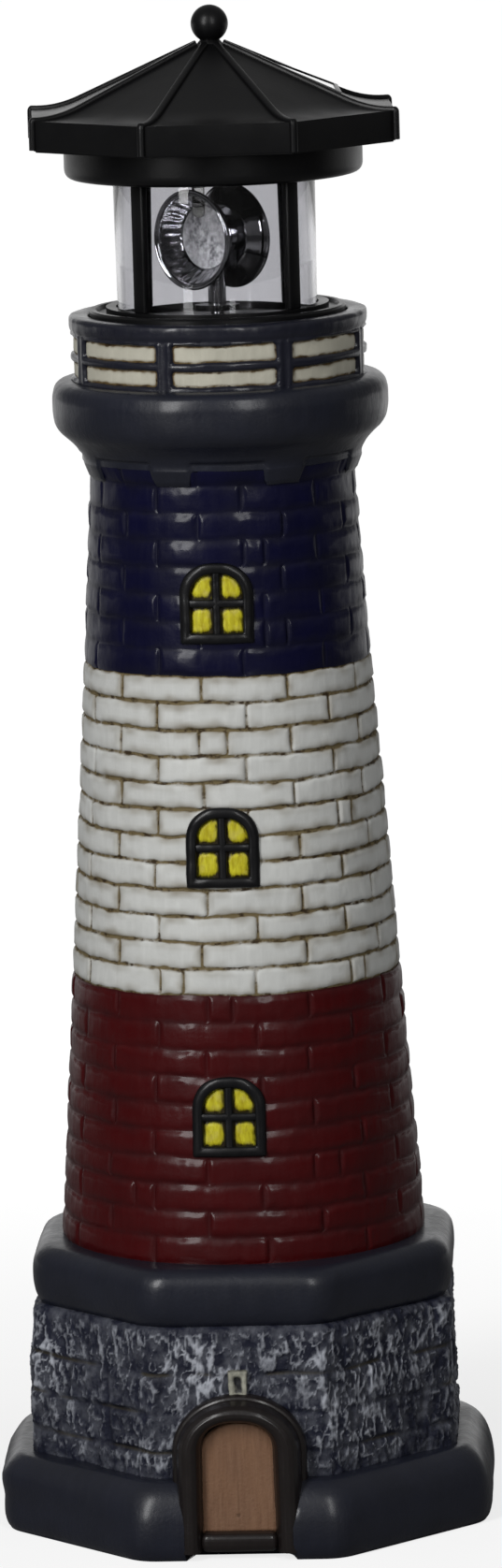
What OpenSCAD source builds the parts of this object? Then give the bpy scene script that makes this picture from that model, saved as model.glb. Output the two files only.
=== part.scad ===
// Garden lighthouse ornament: a hollow cast tower with a painted brick shaft, and a lift-out
// solar lantern whose two back-to-back reflectors turn on a geared spindle.
// Origin at the centre of the underside. +Z is up, -Y is the side with the door.

/* [Base] */
// Across the flats of the octagonal plinth
plinth_w = 147.8; // [142:0.2:152]
// Height of the plinth
plinth_h = 23; // [20:0.5:26]
// Radius of the plinth's rounded corners
plinth_corner = 12; // [8:0.5:14]
// Across the flats of the octagonal stone wall
wall_w = 126; // [122:0.5:128]
// Height of the stone wall
wall_h = 45.5; // [42:0.5:50]
// Across the flats of the ledge over the stone wall
ledge_w = 126.4; // [124:0.2:130]
// Height of the ledge
ledge_h = 17; // [15:0.5:20]
// Turn of the octagonal base against the shaft, degrees
base_turn = -3; // [-6:0.5:6]

/* [Door] */
// Width of the arched door surround
door_frame_w = 38.6; // [36:0.2:41]
// Height of the top of the door surround
door_frame_top = 49; // [46:0.5:52]
// Width of the moulding of the door surround
door_frame_border = 8.4; // [6:0.2:9]

/* [Shaft] */
// Diameter of the shaft where it stands on the ledge
shaft_foot_d = 110; // [108:0.5:111]
// Diameter of the shaft at the red and white boundary
shaft_red_d = 98.8; // [97:0.2:101]
// Diameter of the shaft at the white and blue boundary
shaft_white_d = 86; // [85:0.2:88]
// Diameter of the shaft at the neck under the gallery
shaft_neck_d = 79.4; // [79:0.2:81]
// Height of the red band
red_h = 80.2; // [75:0.1:85]
// Height of the white band
white_h = 94.7; // [90:0.1:100]
// Height of the blue band up to the grey tabs
blue_h = 56.1; // [52:0.1:60]
// Wall thickness of the hollow shaft
shaft_wall = 4.5; // [4:0.1:5]
// Height of a brick course
course_h = 8; // [7:0.5:10]
// Number of bricks in a course
bricks = 10; // [8:1:14]

/* [Windows] */
// Width of a window frame
window_w = 22; // [20:0.5:24]
// Height of a window frame
window_h = 24.5; // [22:0.5:26]
// Width of a window frame's border
window_border = 2.7; // [2.2:0.1:3.2]
// Direction that the windows face, degrees from the front towards the right
window_turn = -4; // [-8:0.5:8]

/* [Gallery] */
// Diameter of the round moulding under the gallery
moulding_d = 100.6; // [98:0.2:103]
// Height of the cove and the moulding
moulding_h = 24; // [22:0.5:26]
// Diameter of the gallery wall at its top rim
gallery_d = 89.2; // [88:0.2:92]
// Height of the gallery wall
gallery_h = 19.2; // [18:0.2:22]
// Number of posts in the railing relief
railing_posts = 8; // [6:1:10]
// Turn of the railing relief, degrees
railing_turn = 2.2; // [-6:0.2:6]

/* [Lantern] */
// Diameter of the black flange that rests in the gallery
flange_d = 76.4; // [74:0.2:76.6]
// Outer diameter of the clear lamp tube at its top
tube_d = 60.2; // [58:0.2:61]
// Height from the gallery rim to the collar under the roof
lamp_h = 40.5; // [38:0.5:46]
// Diameter of the collar under the roof
collar_d = 88.8; // [86:0.2:92]
// Height of the collar
collar_h = 9.9; // [9:0.1:12]
// Depth of the lantern cup below its flange
cup_depth = 35; // [34.5:0.5:38]

/* [Roof] */
// Diameter of the roof across its corners
roof_d = 118; // [114:1:124]
// Height of the vertical fascia
fascia_h = 8.6; // [8:0.1:10]
// Rise of the roof from the eave to the apex
roof_rise = 20.4; // [18:0.2:24]
// Diameter of the finial ball
finial_d = 11.1; // [10:0.1:12]
// Turn of the roof against the shaft, degrees
roof_turn = 1.5; // [-6:0.5:6]

/* [Beacon] */
// Diameter of a reflector's rim
reflector_d = 28.8; // [26:0.2:30]
// Distance from the spindle axis to a reflector's rim
reflector_reach = 10.4; // [10:0.1:11.5]
// Direction that the front reflector faces, degrees from the front towards the right
beacon_turn = -41; // [-180:1:180]

/* [Hidden] */

$fn = 96;
eps = 0.01;
run_gap = 0.05;
// Longer than any cut across the tower has to be
far = 100;

// Colours of the finishes
slate = [0.25, 0.27, 0.31];
stone_grey = [0.42, 0.45, 0.50];
cream = [0.78, 0.75, 0.66];
brick_red = [0.32, 0.05, 0.06];
off_white = [0.80, 0.78, 0.72];
navy = [0.05, 0.06, 0.25];
window_black = [0.03, 0.03, 0.04];
pane_yellow = [0.85, 0.75, 0.10];
door_brown = [0.45, 0.30, 0.20];
frame_brown = [0.10, 0.07, 0.06];
black_abs = [0.04, 0.04, 0.045];
steel = [0.6, 0.6, 0.62];

// Levels of the tower, each standing on the one before
z_wall = plinth_h;
z_ledge = z_wall + wall_h;
z_red = z_ledge + ledge_h;
z_white = z_red + red_h;
z_blue = z_white + white_h;
z_tabs = z_blue + blue_h;
tab_h = 4.5;
z_cove = z_tabs + tab_h;
z_gallery = z_cove + moulding_h;
z_rim = z_gallery + gallery_h;

// The base's walls, and the hollow inside it
plinth_t = 12;
plinth_roof_t = 7;
wall_t = 6;
wall_corner = 5;
ledge_corner = 8;
plinth_hollow = plinth_w / 2 - plinth_t;
plinth_hollow_top = z_wall - plinth_roof_t;
wall_hollow = wall_w / 2 - wall_t;
ledge_hollow_top = z_ledge + ledge_h * 0.6;

// An octagon of apothem a with rounded corners, as one ring of points at height z
oct_cos = cos(22.5);
corner_steps = 4;
function oct_ring(a, z, c) = [for (k = [0:7], j = [0:corner_steps])
    let (mid = 22.5 + 45 * k, reach = (a - c) / oct_cos, t = mid - 22.5 + 45 * j / corner_steps)
    [reach * cos(mid) + c * cos(t), reach * sin(mid) + c * sin(t), z]];
function sharp_ring(a, z) = [for (k = [0:7]) let (t = 22.5 + 45 * k, reach = a / oct_cos)
    [reach * cos(t), reach * sin(t), z]];

// A closed solid through rings that all have the same number of points, lowest first
module loft(rings) {
    n = len(rings[0]);
    top = len(rings) - 1;
    sides = [for (i = [0:top - 1], j = [0:n - 1])
        [i * n + j, (i + 1) * n + j, (i + 1) * n + (j + 1) % n, i * n + (j + 1) % n]];
    polyhedron(points = [for (ring = rings, p = ring) p],
        faces = concat([[for (j = [0:n - 1]) j]], sides, [[for (j = [n - 1:-1:0]) top * n + j]]));
}
module oct_prism(a, z0, z1) {
    translate([0, 0, z0]) rotate([0, 0, 22.5]) cylinder(r = a / oct_cos, h = z1 - z0, $fn = 8);
}
module tube(r_out, r_in, z0, z1) {
    translate([0, 0, z0]) difference() {
        cylinder(r = r_out, h = z1 - z0);
        translate([0, 0, -1]) cylinder(r = r_in, h = z1 - z0 + 2);
    }
}

// ---- Base ----
// Rings of the plinth: share of its height, and how far the side draws in from its widest
plinth_profile = [[0, 2.1], [0.05, 0.9], [0.17, 0.1], [0.35, 0], [0.56, 0.6],
    [0.76, 2.1], [0.91, 4.5], [1, 7.4]];
wall_profile = [[0, 0.4], [0.04, 0], [0.96, 0], [1, 0.9]];
ledge_profile = [[0, 2.3], [0.05, 1.5], [0.18, 0.5], [0.38, 0], [0.62, 0], [0.8, 0.5],
    [0.93, 2], [1, 4.6]];
module profiled(w, h, z, c, profile) {
    loft([for (p = profile) oct_ring(w / 2 - p[1], z + p[0] * h, c)]);
}

// The door surround: an arch that is a little flatter than a half circle
door_front = 74.1;
door_back_low = plinth_w / 2 - 9.9;
door_back_high = wall_w / 2 - 2.5;
door_foot = 2.5;
door_plane = 68.5;
door_sill_top = 8.4;
door_sill_front = 72.4;
arch_flatness = 0.86;
module arch(w, foot, top) {
    half = w / 2;
    rise = half * arch_flatness;
    polygon(concat([[-half, foot], [half, foot]],
        [for (t = [0:7.5:180]) [half * cos(t), top - rise + rise * sin(t)]]));
}
module to_front(back, front) {
    translate([0, -back, 0]) rotate([90, 0, 0]) linear_extrude(front - back) children();
}
module door_outline() { arch(door_frame_w, door_foot, door_frame_top); }
module door_opening() {
    arch(door_frame_w - 2 * door_frame_border, door_foot, door_frame_top - door_frame_border);
}
// Set into the plinth below its top and into the stone wall above it
module set_in(front) {
    intersection() {
        to_front(door_back_low, front) children();
        translate([-far / 2, -far, 0]) cube([far, far, z_wall]);
    }
    intersection() {
        to_front(door_back_high, front) children();
        translate([-far / 2, -far, z_wall]) cube([far, far, wall_h]);
    }
}
key_w = 6;
key_top = door_frame_top + 6.6;
key_front = wall_w / 2 + 1.8;
module keystone_outline() {
    polygon([[-key_w * 0.42, door_frame_top - 1.2], [key_w * 0.42, door_frame_top - 1.2],
        [key_w / 2, key_top], [-key_w / 2, key_top]]);
}

module plinth() {
    color(slate) rotate([0, 0, base_turn]) difference() {
        profiled(plinth_w, plinth_h, 0, plinth_corner, plinth_profile);
        oct_prism(plinth_hollow, -1, plinth_hollow_top);
        oct_prism(wall_hollow, plinth_hollow_top - 1, plinth_h + 1);
        to_front(door_back_low, far) door_outline();
    }
}
module stone_wall() {
    color(stone_grey) rotate([0, 0, base_turn]) difference() {
        profiled(wall_w, wall_h, z_wall, wall_corner, wall_profile);
        oct_prism(wall_hollow, z_wall - 1, z_ledge + 1);
        to_front(door_back_high, far) door_outline();
        to_front(door_back_high, far) keystone_outline();
    }
}
module keystone() {
    color(stone_grey) rotate([0, 0, base_turn]) difference() {
        to_front(door_back_high, key_front) keystone_outline();
        to_front(door_back_high - 1, far) door_outline();
    }
}
module door_frame() {
    color(frame_brown) rotate([0, 0, base_turn]) set_in(door_front) difference() {
        door_outline();
        door_opening();
    }
}
module door() {
    color(door_brown) rotate([0, 0, base_turn]) set_in(door_plane) intersection() {
        door_opening();
        translate([-far / 2, door_sill_top]) square([far, far]);
    }
}
module door_sill() {
    color(frame_brown) rotate([0, 0, base_turn]) to_front(door_back_low, door_sill_front)
        intersection() {
            door_opening();
            translate([-far / 2, 0]) square([far, door_sill_top]);
        }
}
module ledge() {
    color(slate) rotate([0, 0, base_turn]) difference() {
        profiled(ledge_w, ledge_h, z_ledge, ledge_corner, ledge_profile);
        oct_prism(wall_hollow, z_ledge - 1, ledge_hollow_top);
        translate([0, 0, z_ledge]) cylinder(r = shaft_foot_d / 2 - shaft_wall, h = ledge_h + 1);
    }
}

// ---- Shaft ----
cove_r = shaft_neck_d / 2 + 1.9;
// Outer radius of the shaft at height z
function shaft_r(z) = lookup(z, [[z_red, shaft_foot_d / 2], [z_white, shaft_red_d / 2],
    [z_blue, shaft_white_d / 2], [z_tabs - 2, shaft_neck_d / 2],
    [z_tabs, shaft_neck_d / 2 + 0.1], [z_cove, cove_r]]);
// A ring that follows the shaft between two heights, from `inner` to `outer` off its surface
module shaft_ring(levels, inner, outer) {
    n = len(levels);
    rotate_extrude() polygon(concat([for (z = levels) [shaft_r(z) + outer, z]],
        [for (i = [n - 1:-1:0]) [shaft_r(levels[i]) + inner, levels[i]]]));
}
window_levels = [z_red + red_h * 0.556, z_white + white_h * 0.468, z_blue + blue_h * 0.388];
window_depth = 2.2;
window_proud = 1.3;
pane_back = 0.7;
mullion_w = 2.1;
mullion_rise = -0.3;
module window_outline(shrink) {
    half = window_w / 2 - shrink;
    foot = -window_h / 2 + shrink;
    polygon(concat([[-half, foot], [half, foot]],
        [for (t = [0:7.5:180]) [half * cos(t), window_h / 2 - window_w / 2 + half * sin(t)]]));
}
module mullions() {
    translate([-mullion_w / 2, -window_h / 2]) square([mullion_w, window_h]);
    translate([-window_w / 2, mullion_rise - mullion_w / 2]) square([window_w, mullion_w]);
}
// A prism of a flat outline through the shaft's front at window i
module at_window(i) {
    rotate([0, 0, window_turn]) translate([0, 0, window_levels[i]]) to_front(20, 70) children();
}
module window_ring(i, inner, outer) {
    shaft_ring([window_levels[i] - window_h / 2 - 1, window_levels[i] + window_h / 2 + 1],
        inner, outer);
}
module window_pocket(i) {
    intersection() {
        window_ring(i, -window_depth, 8);
        at_window(i) window_outline(0);
    }
}
module window_frame(i) {
    color(window_black) intersection() {
        window_ring(i, -window_depth, window_proud);
        at_window(i) difference() {
            window_outline(0);
            difference() {
                window_outline(window_border);
                mullions();
            }
        }
    }
}
module window_panes(i) {
    color(pane_yellow) intersection() {
        window_ring(i, -window_depth, -pane_back);
        at_window(i) difference() {
            window_outline(window_border);
            mullions();
        }
    }
}
// Sunk joints in running bond between heights z0 and z1, on a wall that leans in evenly
joint_depth = 0.5;
joint_w = 1.1;
joint_turn = 7;
module brick_joints(z0, z1) {
    n = round((z1 - z0) / course_h);
    h = (z1 - z0) / n;
    lean = atan((shaft_r(z0) - shaft_r(z1)) / (z1 - z0));
    for (i = [1:n - 1]) shaft_ring([z0 + i * h - joint_w / 2, z0 + i * h + joint_w / 2],
        -joint_depth, 1);
    for (i = [0:n - 1], k = [0:bricks - 1])
        rotate([0, 0, joint_turn - 90 + (k + i % 2 / 2) * 360 / bricks])
            translate([shaft_r(z0 + i * h), 0, z0 + i * h]) rotate([0, -lean, 0])
                translate([-joint_depth, -joint_w / 2, -joint_depth])
                    cube([2, joint_w, h + 2 * joint_depth]);
}
module red_band() {
    color(brick_red) difference() {
        shaft_ring([z_red, z_white], -shaft_wall, 0);
        brick_joints(z_red, z_white);
        window_pocket(0);
    }
}
module white_band() {
    color(off_white) difference() {
        shaft_ring([z_white, z_blue], -shaft_wall, 0);
        brick_joints(z_white, z_blue);
        window_pocket(1);
    }
}
// Eight grey tabs hang from the cove over the blue band
tab_angle = 17.5;
tab_proud = 0.7;
tab_root = 0.8;
// Tabs and railing posts stand a little further apart at the front than behind
post_spread = 4;
module each_post(angle, z0, z1) {
    reach = 80;
    for (k = [0:railing_posts - 1]) let (from_front = (k + 0.5) * 360 / railing_posts)
        rotate([0, 0, railing_turn + from_front + post_spread * sin(from_front) - 90])
            translate([0, 0, z0]) linear_extrude(z1 - z0)
                polygon([[0, 0], [reach, -reach * tan(angle / 2)], [reach, reach * tan(angle / 2)]]);
}
module blue_band() {
    color(navy) difference() {
        shaft_ring([z_blue, z_tabs - 2, z_tabs, z_cove], -shaft_wall, 0);
        brick_joints(z_blue, z_tabs - 2);
        window_pocket(2);
        each_post(tab_angle, z_tabs, z_cove + 1);
    }
}

// ---- Gallery ----
bore_d = flange_d - 2.4;
seat_depth = 2.6;
z_seat = z_rim - seat_depth;
moulding_r = moulding_d / 2;
// Outer outline of the cove and the moulding, as shares of its height and reach
moulding_profile = [[0, 0], [0.16, 0.2], [0.28, 0.51], [0.35, 0.76], [0.45, 0.93], [0.6, 1],
    [0.8, 1], [0.92, 0.91], [0.98, 0.72], [1, 0.45]];
module moulding() {
    color(slate) union() {
        rotate_extrude() polygon(concat(
            [for (p = moulding_profile) [cove_r + p[1] * (moulding_r - cove_r),
                z_cove + p[0] * moulding_h]],
            [[bore_d / 2, z_gallery], [bore_d / 2, z_cove]]));
        intersection() {
            shaft_ring([z_tabs, z_cove, z_cove + tab_root], -shaft_wall, tab_proud);
            each_post(tab_angle, z_tabs, z_cove + tab_root);
        }
    }
}
wall_r = gallery_d / 2 - 0.7;
panel_back = 1.5;
panel_inset = 0.7;
panel_rows = [[0.05, 0.3], [0.425, 0.685]];
post_angle = 6.6;
lip_h = 4.8;
module panel_space(r_out) {
    difference() {
        for (row = panel_rows)
            tube(r_out, wall_r - panel_back, z_gallery + row[0] * gallery_h,
                z_gallery + row[1] * gallery_h);
        each_post(post_angle, z_gallery - 1, z_rim);
    }
}
module gallery_wall() {
    groove = z_rim - lip_h;
    lip_r = gallery_d / 2;
    color(slate) difference() {
        rotate_extrude() polygon([[bore_d / 2, z_gallery], [wall_r, z_gallery],
            [wall_r, groove - 0.9], [wall_r - 0.5, groove - 0.4], [wall_r, groove + 0.1],
            [lip_r, groove + 0.8], [lip_r, z_rim - 1], [lip_r - 1, z_rim],
            [flange_d / 2 + 0.4, z_rim], [flange_d / 2 + 0.4, z_seat], [bore_d / 2, z_seat]]);
        panel_space(gallery_d);
    }
}
module railing_panels() {
    color(cream) panel_space(wall_r - panel_inset);
}

// ---- Lantern body ----
cup_r = bore_d / 2 - 0.4;
cup_wall = 2;
z_cup = z_seat - cup_depth;
cover_t = 2.5;
z_deck = z_rim + 0.3;
tube_r = tube_d / 2;
tube_draft = 0.4;
tube_wall = 1.6;
tube_socket = 1;
foot_ring = [tube_r + 0.1, tube_r + 3.1];
foot_ring_h = 1.8;
lip_d = flange_d - 0.4;
z_plate = z_cup + 22;
plate_t = 2;
plate_r = 33;
post_r = 3;
pillar_reach = 30;
pillar_angles = [0, 120, 240];
boss_reach = cup_r - cup_wall - 2.8;
boss_angles = [0, 90, 180, 270];
screw_r = 1.25;
screw_hole_r = 1.6;
spindle_r = 2;
bush_r = 4;

module around(angles, reach) {
    for (a = angles) rotate([0, 0, a]) translate([reach, 0, 0]) children();
}
module lantern_base() {
    color(black_abs) difference() {
        union() {
            rotate_extrude() polygon([[0, z_seat], [flange_d / 2, z_seat],
                [flange_d / 2, z_rim + 0.8], [lip_d / 2 - 0.3, z_rim + 1.4],
                [lip_d / 2 - 1.7, z_rim + 1.4], [lip_d / 2 - 2.2, z_deck], [0, z_deck]]);
            tube(foot_ring[1], foot_ring[0], z_deck - 1, z_deck + foot_ring_h);
            tube(cup_r, cup_r - cup_wall, z_cup + cover_t, z_seat + 1);
            around(pillar_angles, pillar_reach)
                translate([0, 0, z_plate + plate_t]) cylinder(r = post_r, h = z_seat - z_plate);
            intersection() {
                around(boss_angles, boss_reach)
                    translate([0, 0, z_cup + cover_t]) cylinder(r = post_r, h = 10);
                cylinder(r = cup_r - cup_wall / 2, h = z_seat);
            }
        }
        translate([0, 0, z_deck - tube_socket]) tube(tube_r, tube_r - tube_wall - tube_draft, 0, 4);
        translate([0, 0, z_seat - 1]) cylinder(r = bush_r, h = 6);
        around(pillar_angles, pillar_reach) translate([0, 0, z_plate]) cylinder(r = screw_r, h = 9);
        around(boss_angles, boss_reach) translate([0, 0, z_cup]) cylinder(r = screw_r, h = 10);
    }
}
z_collar = z_rim + lamp_h;
collar_r = collar_d / 2;
collar_plate = 2.5;
z_fascia = z_collar + collar_h;
post_w = 5.2;
post_t = 2.6;
module cage_posts() {
    color(black_abs) around([45, 135, 225, 315], foot_ring[0] + 0.2)
        translate([0, -post_w / 2, z_deck + foot_ring_h])
            cube([post_t, post_w, z_collar - z_deck - foot_ring_h]);
}
module lamp_tube() {
    z0 = z_deck - tube_socket;
    z1 = z_collar + tube_socket;
    color([0.8, 0.82, 0.83, 0.35]) rotate_extrude() polygon([[tube_r - tube_draft, z0],
        [tube_r, z1], [tube_r - tube_wall, z1], [tube_r - tube_draft - tube_wall, z0]]);
}
module collar() {
    corner = 2.4;
    mouth_r = tube_r - 3.4;
    color(black_abs) difference() {
        rotate_extrude() polygon(concat([[mouth_r, z_collar]],
            [for (t = [-90:15:0]) [collar_r - corner + corner * cos(t),
                z_collar + corner + corner * sin(t)]],
            [[collar_r, z_fascia], [collar_r - 2, z_fascia],
                [collar_r - 2, z_collar + collar_plate], [mouth_r, z_collar + collar_plate]]));
        tube(tube_r, tube_r - tube_wall - 0.05, z_collar - 1, z_collar + tube_socket);
    }
}
soffit_t = 1.6;
soffit_hole_r = 25;
fascia_wall = 1.8;
roof_a = roof_d / 2 * oct_cos;
module soffit() {
    color(black_abs) rotate([0, 0, roof_turn]) difference() {
        oct_prism(roof_a - fascia_wall, z_fascia, z_fascia + soffit_t);
        translate([0, 0, z_fascia - 1]) cylinder(r = soffit_hole_r, h = 5);
    }
}

// ---- Roof ----
z_eave = z_fascia + fascia_h;
z_apex = z_eave + roof_rise;
apex_r = 4;
flare_r = roof_d / 2 * 0.7;
flare_h = roof_rise * 0.26;
roof_slope = (roof_rise - flare_h) / (flare_r - apex_r);
flare_run = roof_d / 2 - flare_r;
// Height of a roof corner line at radius r: straight, then flaring out to the eave
function roof_z(r) = r <= flare_r ? z_apex - (r - apex_r) * roof_slope
    : let (u = (r - flare_r) / flare_run, drop = roof_slope * flare_run)
        z_eave + flare_h - drop * u + (drop - flare_h) * u * u;
roof_steps = [for (i = [4:-1:0]) flare_r + flare_run * i / 4];
rib_h = 1.3;
rib_w = 2.2;
roof_shell = 1.7;
module roof_ribs() {
    line = concat([apex_r + 0.7], [for (i = [4:-1:0]) roof_steps[i]]);
    edge = roof_d / 2 + 0.25;
    for (k = [0:7]) rotate([0, 0, 22.5 + 45 * k]) translate([0, rib_w / 2, 0]) rotate([90, 0, 0])
        linear_extrude(rib_w) polygon(concat([for (r = line) [r, roof_z(r) + rib_h]],
            [[edge, z_eave + rib_h * 0.8], [edge, z_fascia], [edge - 1.8, z_fascia],
                [edge - 1.8, z_eave - 1]], [for (i = [5:-1:0]) [line[i] - 0.2, roof_z(line[i]) - 0.8]]));
}
module on_solar_facets() {
    tilt = atan(roof_slope / oct_cos);
    for (a = [0, 45, 90]) rotate([0, 0, a]) translate([apex_r * oct_cos, 0, z_apex])
        rotate([0, tilt, 0]) children();
}
cell_near = 10;
cell_far = 36;
cell_sink = 0.8;
frame_rim = 1.4;
module cell_outline(grow) {
    near = cell_near - grow;
    far = cell_far + grow;
    spread = tan(22.5);
    polygon([[near, -near * spread + 1 - grow], [far, -far * spread + 2 - grow],
        [far, far * spread - 2 + grow], [near, near * spread - 1 + grow]]);
}
module roof() {
    color(black_abs) rotate([0, 0, roof_turn]) difference() {
        union() {
            difference() {
                loft(concat([sharp_ring(roof_a, z_fascia)],
                    [for (r = roof_steps) sharp_ring(r * oct_cos, roof_z(r))],
                    [sharp_ring(apex_r * oct_cos, z_apex)]));
                loft(concat([sharp_ring(roof_a - fascia_wall, z_fascia - 1)],
                    [for (r = roof_steps) sharp_ring(r * oct_cos - fascia_wall, roof_z(r) - roof_shell)],
                    [sharp_ring(apex_r * oct_cos - fascia_wall, z_apex - roof_shell)]));
            }
            roof_ribs();
        }
        on_solar_facets() translate([0, 0, -cell_sink]) linear_extrude(5) cell_outline(frame_rim);
    }
}
module solar_frames() {
    color(black_abs) rotate([0, 0, roof_turn]) on_solar_facets() translate([0, 0, -cell_sink])
        linear_extrude(cell_sink + 0.5) difference() {
            cell_outline(frame_rim);
            cell_outline(0);
        }
}
module solar_cells() {
    color([0.02, 0.03, 0.10]) rotate([0, 0, roof_turn]) on_solar_facets()
        translate([0, 0, -cell_sink]) linear_extrude(cell_sink + 0.2) cell_outline(0);
}
module finial() {
    ball_r = finial_d / 2;
    z_ball = z_apex + 5.85;
    neck_r = 2.9;
    low = -acos(neck_r / ball_r);
    color(black_abs) rotate_extrude() polygon(concat([[0, z_apex], [3.6, z_apex],
        [3.3, z_apex + 0.7], [neck_r, z_apex + 0.8]],
        [for (i = [0:20]) let (t = low + (90 - low) * i / 20)
            [max(0, ball_r * cos(t)), z_ball + ball_r * sin(t)]]));
}

// ---- Drive ----
gear_module = 0.6;
pinion_teeth = 10;
idler_teeth = 40;
spindle_teeth = 50;
backlash = 0.5;
stage_1 = gear_module * (pinion_teeth + idler_teeth) / 2;
stage_2 = gear_module * (pinion_teeth + spindle_teeth) / 2;
motor_bearing = -15;
idler_at = [0, stage_2];
motor_at = idler_at + stage_1 * [cos(motor_bearing), sin(motor_bearing)];
z_stage_1 = z_plate + plate_t + 1;
z_stage_2 = z_stage_1 + 3.5;
gear_t = 2.5;
motor_r = 10;
motor_h = 19;
motor_boss_r = 4;
shaft_pin_r = 1;
idler_pin_r = 1.2;
// Turns that bring the teeth into mesh, degrees
pinion_phase = 21;
idler_phase = 7.5;
idler_pinion_phase = 18;

function inv(t) = tan(t) * 180 / PI - t;
// Half angle of an involute tooth at radius r
function tooth_half(n, r) = let (pitch = n * gear_module / 2, base = pitch * cos(20))
    90 / n - backlash * 3 / n + inv(20) - (r > base ? inv(acos(base / r)) : 0);
module gear(n, thick, bore, phase) {
    pitch = n * gear_module / 2;
    tip = pitch + gear_module * 0.85;
    root = pitch - gear_module * 1.15;
    flank = [[root, max(root, pitch * cos(20) + 0.001)], [pitch, pitch], [tip, tip]];
    linear_extrude(thick) difference() {
        polygon([for (k = [0:n - 1]) each let (mid = phase + k * 360 / n) concat(
            [for (p = flank) let (t = mid - tooth_half(n, p[1])) p[0] * [cos(t), sin(t)]],
            [for (i = [2:-1:0]) let (p = flank[i], t = mid + tooth_half(n, p[1]))
                p[0] * [cos(t), sin(t)]])]);
        circle(r = bore);
    }
}
module gear_plate() {
    color([0.75, 0.75, 0.72]) translate([0, 0, z_plate]) difference() {
        cylinder(r = plate_r, h = plate_t);
        translate([0, 0, -1]) cylinder(r = bush_r, h = 5);
        translate([motor_at[0], motor_at[1], -1]) cylinder(r = motor_boss_r, h = 5);
        translate([idler_at[0], idler_at[1], -1]) cylinder(r = idler_pin_r, h = 5);
        around(pillar_angles, pillar_reach) translate([0, 0, -1]) cylinder(r = 1.5, h = 5);
    }
}
// A pan-head screw that points up, its head's top face at z = 0
module screw(length) {
    color(steel) difference() {
        union() {
            cylinder(r = screw_r, h = length);
            translate([0, 0, -1.5]) cylinder(r = 2.4, h = 1.5);
        }
        translate([-2, -0.3, -2]) cube([4, 0.6, 1.1]);
    }
}
module plate_screws() {
    around(pillar_angles, pillar_reach) translate([0, 0, z_plate]) screw(plate_t + 6);
}
module motor() {
    color(steel) translate([motor_at[0], motor_at[1], z_plate - motor_h]) difference() {
        union() {
            cylinder(r = motor_r, h = motor_h);
            cylinder(r = motor_boss_r, h = motor_h + 1.5);
        }
        translate([0, 0, 3]) cylinder(r = shaft_pin_r + run_gap, h = motor_h);
    }
}
module motor_pinion() {
    z_low = z_plate - motor_h + 3;
    color("gold") translate([motor_at[0], motor_at[1], 0]) union() {
        translate([0, 0, z_stage_1]) gear(pinion_teeth, gear_t, 0.5, pinion_phase);
        translate([0, 0, z_low + 0.1]) cylinder(r = shaft_pin_r, h = z_stage_1 + gear_t - z_low);
    }
}
module idler_pin() {
    color(steel) translate([idler_at[0], idler_at[1], z_plate])
        cylinder(r = idler_pin_r, h = z_seat - z_plate);
}
module idler_gear() {
    bore = idler_pin_r + run_gap;
    color("ivory") translate([idler_at[0], idler_at[1], 0]) union() {
        translate([0, 0, z_stage_1]) gear(idler_teeth, gear_t, bore, idler_phase);
        translate([0, 0, z_stage_1 + gear_t - eps])
            gear(pinion_teeth, z_stage_2 - z_stage_1, bore, idler_pinion_phase);
    }
}
z_beacon = z_rim + 21.8;
stem_r = 2.7;
z_stem = z_deck + 2.8;
module spindle() {
    color([0.8, 0.8, 0.82]) union() {
        translate([0, 0, z_plate - 1]) cylinder(r = spindle_r, h = z_stem - z_plate + 2);
        translate([0, 0, z_stem]) cylinder(r = stem_r, h = z_beacon + 1 - z_stem);
    }
}
module spindle_gear() {
    color("ivory") translate([0, 0, z_stage_2]) gear(spindle_teeth, gear_t, spindle_r, 0);
}
module spindle_bushes() {
    color("goldenrod") {
        tube(bush_r, spindle_r + run_gap, z_seat - 0.3, z_deck);
        tube(bush_r, spindle_r + run_gap, z_plate, z_plate + plate_t);
    }
}
slip_r = 5.4;
slip_t = 0.9;
brush_gap = 0.15;
brush_w = 1.6;
slip_levels = [z_stage_2 + gear_t + 0.4, z_stage_2 + gear_t + 1.7];
module slip_rings() {
    color("goldenrod") for (z = slip_levels) tube(slip_r, spindle_r, z, z + slip_t);
}
module contact_brushes() {
    color("peru") for (i = [0, 1]) mirror([i, 0, 0]) {
        foot = slip_levels[i] + brush_gap;
        translate([slip_r + brush_gap, -8, foot]) cube([0.4, 10, slip_t - 2 * brush_gap]);
        translate([slip_r + brush_gap, -8, foot]) cube([brush_w, brush_w, z_seat - foot]);
    }
}
hub_r = 6.7;
module rotor_hub() {
    color(black_abs) tube(hub_r, spindle_r, z_deck + 1.2, z_stem);
}

// ---- Beacon ----
carrier_reach = 3.4;
bowl_wall = 0.8;
bowl_floor_r = 8.2;
rim_r = reflector_d / 2;
rim_t = 0.9;
led_r = 1.9;
led_reach = carrier_reach + 3.85;
module facing_out() {
    translate([0, 0, z_beacon]) rotate([90, 0, 0]) children();
}
// A bowl with a flat floor, a conical wall and a thick rim
module bowl() {
    facing_out() rotate_extrude() polygon([[0, carrier_reach], [bowl_floor_r + 0.4, carrier_reach],
        [bowl_floor_r + 1.4, carrier_reach + 0.6], [rim_r - 0.6, reflector_reach - rim_t],
        [rim_r, reflector_reach - rim_t], [rim_r, reflector_reach], [rim_r - 1.2, reflector_reach],
        [bowl_floor_r + 0.7, carrier_reach + bowl_wall + 0.5],
        [bowl_floor_r, carrier_reach + bowl_wall], [0, carrier_reach + bowl_wall]]);
}
module reflector() {
    color([0.75, 0.75, 0.78]) difference() {
        bowl();
        translate([0, -led_reach, z_beacon]) cylinder(r = led_r, h = 20);
    }
}
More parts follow.
